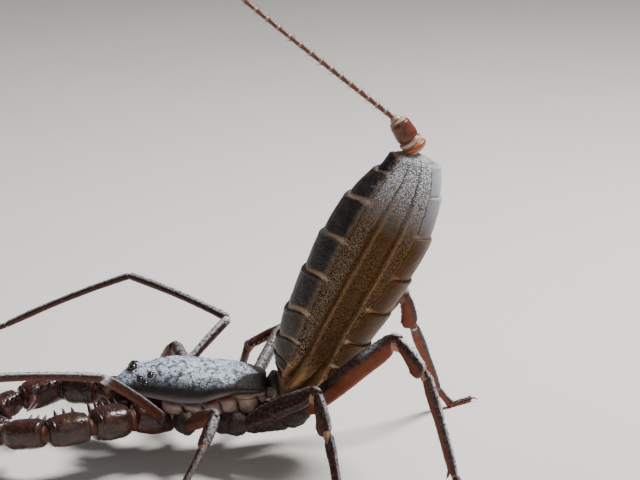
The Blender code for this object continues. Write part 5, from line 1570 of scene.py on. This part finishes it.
def pedipalp(side, draw):
    """The heavy, toothed pincer arm of one side."""
    sign = SIDES[side]
    joints = [mirrored(joint, sign) for joint in PALP_JOINTS]
    chain = [mirrored(PALP_ROOT, sign)] + joints
    made = []
    for index, (name, (wide, tall)) in enumerate(PALP_PARTS.items()):
        start, end = joints[index:index + 2]
        r0, r1 = PALP_RADII[index:index + 2]
        axis = unit(end - start)
        across = unit(np.cross(axis, UP))
        rows = [(0, r0, r0, r0), (0.14, wide * 0.94, tall * 0.96, tall * 0.94),
                (0.5, wide, tall, tall * 0.98), (0.86, wide * 0.95, tall * 0.92, tall * 0.92),
                (1, r1, r1, r1)]

        def relief(t, angle, points):
            collar = 0.07 * hill(t, 0.965, 0.025) - 0.05 * hill(t, 0.915, 0.02) - 0.04 * hill(t, 0.06, 0.02)
            return lumps(points, (0.07, 1.3, index + 40), (0.035, 0.45, index + 50)) + collar
        limb = Limb(start + axis * r0 * 0.36, end - axis * r1 * 0.36, across, rows, 96, 96, 0.0, 2.6, 0.32,
                    relief)
        inner = across if across[1] * sign < 0 else -across
        teeth = palp_teeth(name, start, end, inner, wide, tall)
        put(f"palp_{name}_{side}", joined([limb.shape] + teeth), "palp",
            [f"pedipalp_{name}_{side}"])
        made.append(limb)
    radius = PALP_RADII[-1]
    tip = joints[-1]
    low = joints[-2] + unit(tip - joints[-2]) * radius * 0.5
    finger = [horn(low, tip, FINGER_BOW, radius * 0.95, 32, 60)]
    for t in np.linspace(0.2, 0.85, 9):
        finger.append(horn(bowed(low, tip, FINGER_BOW, t) + np.array([0.3, 0, 0.1]) * (1 - t),
                           low + (tip - low) * t + np.array([0.75 - 0.5 * t, 0, 0.1]), 0.0, 0.16, 8, 6))
    put(f"palp_finger_{side}", joined(finger), "palp", [f"pedipalp_tarsus_{side}"])
    skins = [joint_skin(*chain[index:index + 3], radius, 1.0, 1.0)
             for index, radius in enumerate(PALP_RADII)]
    put(f"palp_joint_skin_{side}", joined(skins), "joint")
    return limb_bristles(made, PALP_BRISTLES, 0.9, draw)


def palp_teeth(name, start, end, inner, wide, tall):
    """Teeth on the inner upper edge of a pedipalp part, and its long process or fixed finger."""
    count, first, last, size = PALP_TEETH[name]
    axis = unit(end - start)
    teeth = []
    for share in np.linspace(first, last, count):
        foot = start + (end - start) * share + inner * wide * 0.45 + UP * tall * 0.35
        reach = wide * 0.62 + size * (0.8 + 0.35 * math.sin(math.pi * share))
        teeth.append(horn(foot, foot + unit(inner * 0.75 + UP * 0.65) * reach, -axis * 0.05, 0.46, 18, 18))
    if name in PALP_PROCESSES:
        share, lift, lean, length, bow, radius, stations, first, longest, thick = PALP_PROCESSES[name]
        foot = start + (end - start) * share + inner * wide * 0.3 + UP * lift
        tip = foot + unit(inner * lean[0] + axis * lean[1]) * length
        teeth.append(horn(foot, tip, axis * bow, radius, 28, stations))
        for t in np.linspace(first, 0.85, 6):
            spot = bowed(foot, tip, axis * bow, t)
            teeth.append(horn(spot, spot + axis * (longest - 0.5 * t) + UP * 0.1, 0.0, thick, 8, 6))
    return teeth


def chelicera(side, draw):
    """A blunt base under the carapace's front edge with a hooked fang and a brush of bristles."""
    sign = SIDES[side]
    start, end = (mirrored(point, sign) for point in CHELICERA)
    r = CHELICERA_RADIUS
    axis = unit(end - start)
    limb = Limb(start + axis * 0.9 * r, end - axis * 0.7 * r, LEFT, scaled(CHELICERA_ROWS, r, r), 48, 50,
                relief=lambda t, angle, points: 0.04 * grain(points, 0.6, 60))
    put(f"cheliceral_base_{side}", limb.shape, "palp", ["chelicera_" + side])
    tip = end + np.array([-0.35, -0.25 * sign, -1.7])
    fang = horn(end + np.array([0.6, 0, 0.1]), tip, (-0.45, 0, 0), 0.45, 20, 30)
    put(f"fang_{side}", fang, "claw")
    return limb_bristles([limb], (220,), 1.1, draw)


# underside

def core_shape():
    """The soft body under the carapace, with folds along its side."""
    x = np.linspace(CORE_ROWS[0][0], CORE_ROWS[-1][0], 130)
    width, middle, drop = smooth_rows(CORE_ROWS, x).T
    rim = smooth_rows(CARAPACE_ROWS, x)[:, 1]
    path = np.stack([x, np.zeros_like(x), middle], axis=1)
    rings = sections(path, LEFT, width, rim - CARAPACE_LIP - 0.1 - middle, drop, 120, 2.6)
    rings[..., 0] = x[:, None]
    out = unit(rings - path[:, None] + 1e-9)
    rings += out * lumps(rings, (0.1, 1.2, 8), (0.05, 0.5, 9))[..., None]
    rings = rings + ORIGIN
    reach = np.array([0.3, 0, 0])
    return tube(rings, [rings[0].mean(axis=0) - reach, rings[-1].mean(axis=0) + reach])


def waist_shape():
    """The pedicel: a short folded neck of skin between the two halves of the body."""
    path = np.array([place(*point) for point in WAIST_PATH])
    return Limb(path[0], path[-1], LEFT, WAIST_ROWS, 60, 60, path=path,
                relief=lambda t, angle, points: 0.05 * np.sin(t * 60) + 0.04 * grain(points, 0.4, 11)).shape


def hip(leg, side):
    """Coxa and trochanter of one leg, two chunky wrinkled parts from the body out to the femur."""
    sign = SIDES[side]
    start, turn, root = (mirrored(table[leg], sign) for table in (COXA_ROOTS, COXA_ENDS, FEMUR_ROOTS))
    thick = COXA_RADII[leg]
    r = FEELER_RADII[0] if leg == 1 else JOINT_RADII[0] * LEG_DEPTHS[leg]
    side_way = unit(np.cross(root - start, UP))
    out = root - unit(root - turn) * r * 0.35
    rows = [(0, 0.62 * thick, 0.7 * thick, 0.7 * thick), (0.5, 0.72 * thick, 0.82 * thick, 0.82 * thick),
            (1, 0.8 * r, 1.02 * r, 1.02 * r)]

    def relief(t, angle, points):
        ridges = grain(points * np.array([1.0, 1.0, 0.4]), 0.32, leg + 90)
        return lumps(points, (0.13, 1.0, leg + 70), (0.06, 0.4, leg + 80)) + 0.06 * ridges
    coxa = Limb(start, turn, side_way, scaled(COXA_ROWS, thick, thick), 72, 64, 0.0, 2.1, 0.55, relief)
    trochanter = Limb(turn, out, side_way, rows, 68, 60, 0.0, 2.1, 0.5, relief)
    put(f"coxa_{leg}_{side}", coxa.shape, "coxa")
    put(f"trochanter_{leg}_{side}", trochanter.shape, "coxa")
    return [coxa, trochanter]


def side_skin(side):
    """The soft skin that hangs from the carapace's rim to the coxae, swollen into lobes between creases.

    With v from 0 at the rim to 1 at the coxae, the skin stands out from the straight line between
    them by 0.15 + 0.75 * lobe * sin(pi v)^0.8. Between two creases, with f from -1 to 1, a lobe is
    (1 - |f|^2.5)^0.5. The creases lean to the rear as they go down.
    """
    rows, columns = SIDE_SKIN_GRID
    x, v = np.meshgrid(np.linspace(-14.2, -0.9, rows), np.linspace(0, 1, columns), indexing="ij")
    half_width, rim, _ = np.moveaxis(smooth_rows(CARAPACE_ROWS, x), -1, 0)
    leaning = x + 0.12 * grain(np.stack([x, v * 4, 0 * x], -1), 1.4, 33) - 0.9 * (v - 0.4)
    creases = np.array(SIDE_CREASES)
    cell = np.clip(np.searchsorted(creases, leaning) - 1, 0, len(creases) - 2)
    far = np.abs(2 * np.clip((leaning - creases[cell]) / (creases[cell + 1] - creases[cell]), 0, 1) - 1)
    lobe = np.sqrt(np.clip(1 - far**2.5, 0, 1))
    bulge = np.sin(math.pi * v) ** 0.8
    swell = 0.15 + 0.75 * lobe * bulge - 0.25 * (1 - lobe) * bulge
    low = 4.7 - 1.2 * step(x, -3.2, -0.9) - 0.6 * (1 - step(x, -14.2, -12))
    aside = (half_width - 0.4) * (1 - v) + low * v + swell
    height = (rim - 0.2) * (1 - v) + (7.5 + 0.7 * step(x, -3, -1)) * v
    outer = np.stack([x, aside, height], -1)
    inner = outer - np.array([0.0, 0.55, 0.0])
    inner[..., 1] = np.maximum(inner[..., 1], 0.3)
    outer[..., 1] += lumps(outer, (0.05, 0.8, 31), (0.03, 0.3, 32))
    red = hill(v, 0.04, 0.16) * step(x, -9.5, -8) * (1 - step(x, -5.2, -4.4))
    tan = hill(v, 0.06, 0.16) * step(x, -4.9, -4.0) + 0.25 * lobe * hill(v, 0.45, 0.3)
    rear = step(x, -4.9, -4.0)
    crease = np.clip(hill(far, 1, 0.16) * bulge + hill(v, 1, 0.14) + hill(v, 0.2, 0.035) * rear, 0, 1)
    flip = np.array([1.0, SIDES[side], 1.0])
    sheets = [sheet * flip + ORIGIN for sheet in (outer, inner)]
    if SIDES[side] < 0:
        sheets = [sheet[::-1] for sheet in sheets]
        red, tan, crease = red[::-1], tan[::-1], crease[::-1]
    return shell(*sheets, red=red, tan=np.clip(tan, 0, 1), crease=crease)


def lumpy_ball(middle, radii, rough, seed, **values):
    """An ellipsoid whose surface stands out by grains of two sizes, the finer ones drawn out across."""
    shape = ball(middle, radii, np.eye(3), 70, 96, 2.2, **values)
    fine = grain(shape.points * np.array([0.5, 1, 1]), 0.32, seed + 1)
    swell = rough * (grain(shape.points, 0.8, seed) + 0.75 * fine)
    shape.points = shape.points + unit(shape.points - middle) * swell[:, None]
    return shape


def waist_cover():
    """A small dark, wrinkled saddle over the waist between the carapace and the first plate."""
    return lumpy_ball(place(0.15, 0, 9.95), (0.95, 2.7, 1.75), 0.16, 21, brown=0.4, side=0.2)


def base_knob(side):
    """A pale wrinkled knob of skin between the carapace's rear corner and the abdomen."""
    return lumpy_ball(mirrored((-0.2, 2.55, 9.75), SIDES[side]), (0.75, 1.15, 0.72), 0.06, 23, tan=0.3)


def palp_base(side):
    """The pedipalp's coxa and the blunt process that points forward under the mouth."""
    sign = SIDES[side]
    joint, root = mirrored(PALP_JOINTS[0], sign), mirrored(PALP_ROOT, sign)
    end = joint + unit(root - joint) * PALP_RADII[0] * 0.5
    lobe = Limb(root, end, unit(np.cross(end - root, UP)), rounded(PALP_COXA_ROWS), 72, 60, 0.0, 2.2, 0.4,
                lambda t, angle, points: lumps(points, (0.06, 1.1, 90), (0.03, 0.4, 91)))
    base, tip = (mirrored(point, sign) for point in PALP_COXA_PROCESS)
    process = horn(base, tip, (0, 0.15 * sign, -0.1), 0.95, 32, 40)
    return joined([lobe.shape, process])


def sternum_shapes():
    """Small plates down the middle of the underside."""
    axes = np.array([[0, -1, 0], [1, 0, 0], [0, 0, 1]])
    return joined([ball(place(x, 0, z), (length, width, 0.28), axes, 22, 36, 2.6)
                   for x, z, width, length in STERNUM_PLATES])


# stage

def studio_backdrop():
    """A pale floor that curves up into a wall far behind: flat, then a quarter circle, then upright."""
    width, radius, back = BACKDROP
    turn = np.radians(np.linspace(0, 90, 24))
    y = np.concatenate([[-width, 0.0], back + radius * np.sin(turn), [back + radius]])
    z = np.concatenate([[0.0, 0.0], radius * (1 - np.cos(turn)), [width]])
    across = np.linspace(-width, width, 9)[:, None]
    grid = np.stack(np.broadcast_arrays(across, y, z), -1)
    rows, columns = grid.shape[:2]
    faces = ring_faces(rows, columns).reshape(rows - 1, columns, 4)[:, :-1, ::-1].reshape(-1, 4)
    made = Recipe("pale studio", Specular_IOR_Level=0.2)
    floor = colours().floor
    made.colour = made.blend(made.clouds(40, 0.3, 0.7), floor, floor * 0.97)
    thing = made_object("studio", Shape(grid.reshape(-1, 3), [faces]), made.done((30, 0.85, 0.95)))


def lamp(name, spot, target, size, colour, power):
    """A square soft lamp that faces a point."""
    light = bpy.data.lights.new(name, "AREA")
    light.shape = "RECTANGLE"
    light.size = light.size_y = size * MM
    light.energy = power
    light.color = colour
    thing = bpy.data.objects.new(name, light)
    thing.matrix_world = looking(np.array(spot, float), np.array(target, float))
    bpy.context.scene.collection.objects.link(thing)


def looking(spot, target):
    """The placing of a lamp or camera at one point, in mm, that faces another and stands upright."""
    back = unit(spot - target)
    right = unit(np.cross(UP, back))
    turn = np.eye(4)
    turn[:3, 0], turn[:3, 1], turn[:3, 2], turn[:3, 3] = right, np.cross(back, right), back, spot * MM
    return Matrix(turn.tolist())


def studio_camera():
    """The camera at the picture's angle: due left of the animal and a little above it."""
    camera = bpy.data.cameras.new("camera")
    camera.sensor_width = 36.0
    camera.lens = CAMERA_LENS
    camera.clip_start = 0.01
    thing = bpy.data.objects.new("camera", camera)
    target = np.array(CAMERA_TARGET)
    lift = math.radians(CAMERA_ELEVATION)
    spot = target + CAMERA_DISTANCE * np.array([0.0, -math.cos(lift), math.sin(lift)])
    thing.matrix_world = looking(spot, target)
    bpy.context.scene.collection.objects.link(thing)
    bpy.context.scene.camera = thing


class VINEGAROON_OT_stage(Operator):
    """Make the pale floor, the soft lamps, the even sky and the camera."""
    bl_idname = "vinegaroon.stage"
    bl_label = "Stage"

    def execute(self, context):
        light = context.scene.vinegaroon_light
        studio_camera()
        studio_backdrop()
        for name, facts in LAMPS.items():
            lamp(name, *facts, getattr(light, name))
        world = bpy.data.worlds.new("even sky")
        world.use_nodes = True
        sky = world.node_tree.nodes["Background"]
        sky.inputs["Color"].default_value = SKY
        sky.inputs["Strength"].default_value = light.sky
        context.scene.world = world
        return {"FINISHED"}


class VINEGAROON_OT_carapace(Operator):
    """Make the granular carapace with the swollen rings round its eyes."""
    bl_idname = "vinegaroon.carapace"
    bl_label = "Carapace"

    def execute(self, context):
        draw = np.random.default_rng(sizes().seed)
        hoops = [eye_hoop(x, y * sign, radius) for sign in SIDES.values() for x, y, radius in eye_places()]
        put("carapace_shield", joined([carapace_shape()] + hoops), "carapace", ["carapace"])
        put("carapace_grains", carapace_grains(draw), "carapace")
        return {"FINISHED"}


class VINEGAROON_OT_eyes(Operator):
    """Make the two median eyes and three side eyes on each side."""
    bl_idname = "vinegaroon.eyes"
    bl_label = "Eyes"

    def execute(self, context):
        for side, sign in SIDES.items():
            median, *lateral = [eye_ball(x, y * sign, radius) for x, y, radius in eye_places()]
            put(f"front_eye_{side}", median, "eye", ["median_eye_" + side])
            put(f"side_eyes_{side}", joined(lateral), "eye", ["lateral_eyes_" + side])
        return {"FINISHED"}


class VINEGAROON_OT_abdomen(Operator):
    """Make the abdomen's soft skin, its grains, and its back and belly plates."""
    bl_idname = "vinegaroon.abdomen"
    bl_label = "Abdomen"

    def execute(self, context):
        draw = np.random.default_rng(sizes().seed + 1)
        put("abdomen_skin", abdomen_skin(), "flank", ["abdomen"])
        for side, sign in SIDES.items():
            put(f"flank_grains_{side}", flank_grains(sign, draw), "grain")
        for index, (front, rear) in enumerate(zip(SEGMENT_ENDS[:-1], SEGMENT_ENDS[1:]), start=1):
            band = min(BAND, 0.3 * (rear - front))
            for name, (angles, middle, before, behind, look) in PLATE_KINDS.items():
                plate = abdomen_plate(front + before * band, rear - behind * band, angles, middle)
                put(f"{name}_{index}", plate, look, ["abdomen"], PLATE_CREASE)
        return {"FINISHED"}


class VINEGAROON_OT_tail(Operator):
    """Make the three tip rings and the jointed whip with its bristles."""
    bl_idname = "vinegaroon.tail"
    bl_label = "Tail"

    def execute(self, context):
        draw = np.random.default_rng(sizes().seed + 2)
        put("tip_rings", joined([pygidium_shape(), whip_collar()]), "whip", ["pygidium"])
        ends = flagellum_ends()
        thirds = np.linspace(0, len(ends) - 1, 4).round().astype(int)
        for name, low, high in zip(("base", "middle", "tip"), thirds[:-1], thirds[1:]):
            put(f"whip_{name}", flagellum_shape(low, high, ends), "whip", ["flagellum_" + name])
        put("whip_bristles", whip_bristles(draw), "bristle")
        return {"FINISHED"}


class VINEGAROON_OT_underside(Operator):
    """Make the soft core, the pedicel, the coxae, the side skin and the sternum."""
    bl_idname = "vinegaroon.underside"
    bl_label = "Underside"

    def execute(self, context):
        draw = np.random.default_rng(sizes().seed + 3)
        put("underbody_skin", joined([core_shape(), waist_shape()]), "pleura",
            ["coxae_and_sternum"])
        put("waist_cover", waist_cover(), "plate")
        put("sternum_plates", sternum_shapes(), "coxa")
        for side in SIDES:
            limbs = [limb for leg in COXA_ROOTS for limb in hip(leg, side)]
            put(f"side_skin_{side}", joined([side_skin(side), base_knob(side)]), "pleura")
            put(f"palp_coxa_{side}", palp_base(side), "palp")
            hairs = limb_bristles(limbs, [HIP_BRISTLES] * len(limbs), 0.6, draw)
            put(f"hip_bristles_{side}", hairs, "bristle")
        return {"FINISHED"}


class VINEGAROON_OT_pincers(Operator):
    """Make the pedipalps and the chelicerae."""
    bl_idname = "vinegaroon.pincers"
    bl_label = "Pincers"

    def execute(self, context):
        draw = np.random.default_rng(sizes().seed + 4)
        for side in SIDES:
            put(f"palp_bristles_{side}", pedipalp(side, draw), "bristle")
            put(f"fang_bristles_{side}", chelicera(side, draw), "bristle")
        return {"FINISHED"}


class VINEGAROON_OT_legs(Operator):
    """Make the six walking legs and the two feeler legs."""
    bl_idname = "vinegaroon.legs"
    bl_label = "Legs"

    def execute(self, context):
        draw = np.random.default_rng(sizes().seed + 5)
        for side in SIDES:
            for leg in LEG_LENGTHS:
                put(f"leg_bristles_{leg}_{side}", walking_leg(leg, side, draw), "bristle")
            put(f"feeler_bristles_{side}", feeler_leg(side, draw), "bristle")
        return {"FINISHED"}


PIECES = (VINEGAROON_OT_carapace, VINEGAROON_OT_eyes, VINEGAROON_OT_abdomen, VINEGAROON_OT_tail,
          VINEGAROON_OT_underside, VINEGAROON_OT_pincers, VINEGAROON_OT_legs)


class VINEGAROON_PT_panel(Panel):
    """Lists the pieces and the stage."""
    bl_label = "Vinegaroon"
    bl_idname = "VINEGAROON_PT_panel"
    bl_space_type = "VIEW_3D"
    bl_region_type = "UI"
    bl_category = "Vinegaroon"

    def draw(self, context):
        for operator in (VINEGAROON_OT_stage, *PIECES):
            self.layout.operator(operator.bl_idname)
        for group in (context.scene.vinegaroon_sizes, context.scene.vinegaroon_colours,
                      context.scene.vinegaroon_light):
            box = self.layout.box()
            for name in group.__annotations__:
                box.prop(group, name)


CLASSES = (VinegaroonSizes, VinegaroonColours, VinegaroonLight, VINEGAROON_OT_stage, *PIECES,
           VINEGAROON_PT_panel)


def register():
    """Register the classes and keep the sizes, colours and lamps with the scene."""
    for made in CLASSES:
        bpy.utils.register_class(made)
    bpy.types.Scene.vinegaroon_sizes = PointerProperty(type=VinegaroonSizes)
    bpy.types.Scene.vinegaroon_colours = PointerProperty(type=VinegaroonColours)
    bpy.types.Scene.vinegaroon_light = PointerProperty(type=VinegaroonLight)


def unregister():
    """Take the classes and the scene's values away again."""
    del bpy.types.Scene.vinegaroon_light
    del bpy.types.Scene.vinegaroon_colours
    del bpy.types.Scene.vinegaroon_sizes
    for made in reversed(CLASSES):
        bpy.utils.unregister_class(made)


def main():
    """Make the stage and every piece."""
    register()
    bpy.ops.vinegaroon.stage()
    bpy.ops.vinegaroon.carapace()
    bpy.ops.vinegaroon.eyes()
    bpy.ops.vinegaroon.abdomen()
    bpy.ops.vinegaroon.tail()
    bpy.ops.vinegaroon.underside()
    bpy.ops.vinegaroon.pincers()
    bpy.ops.vinegaroon.legs()


if __name__ == "__main__":
    main()
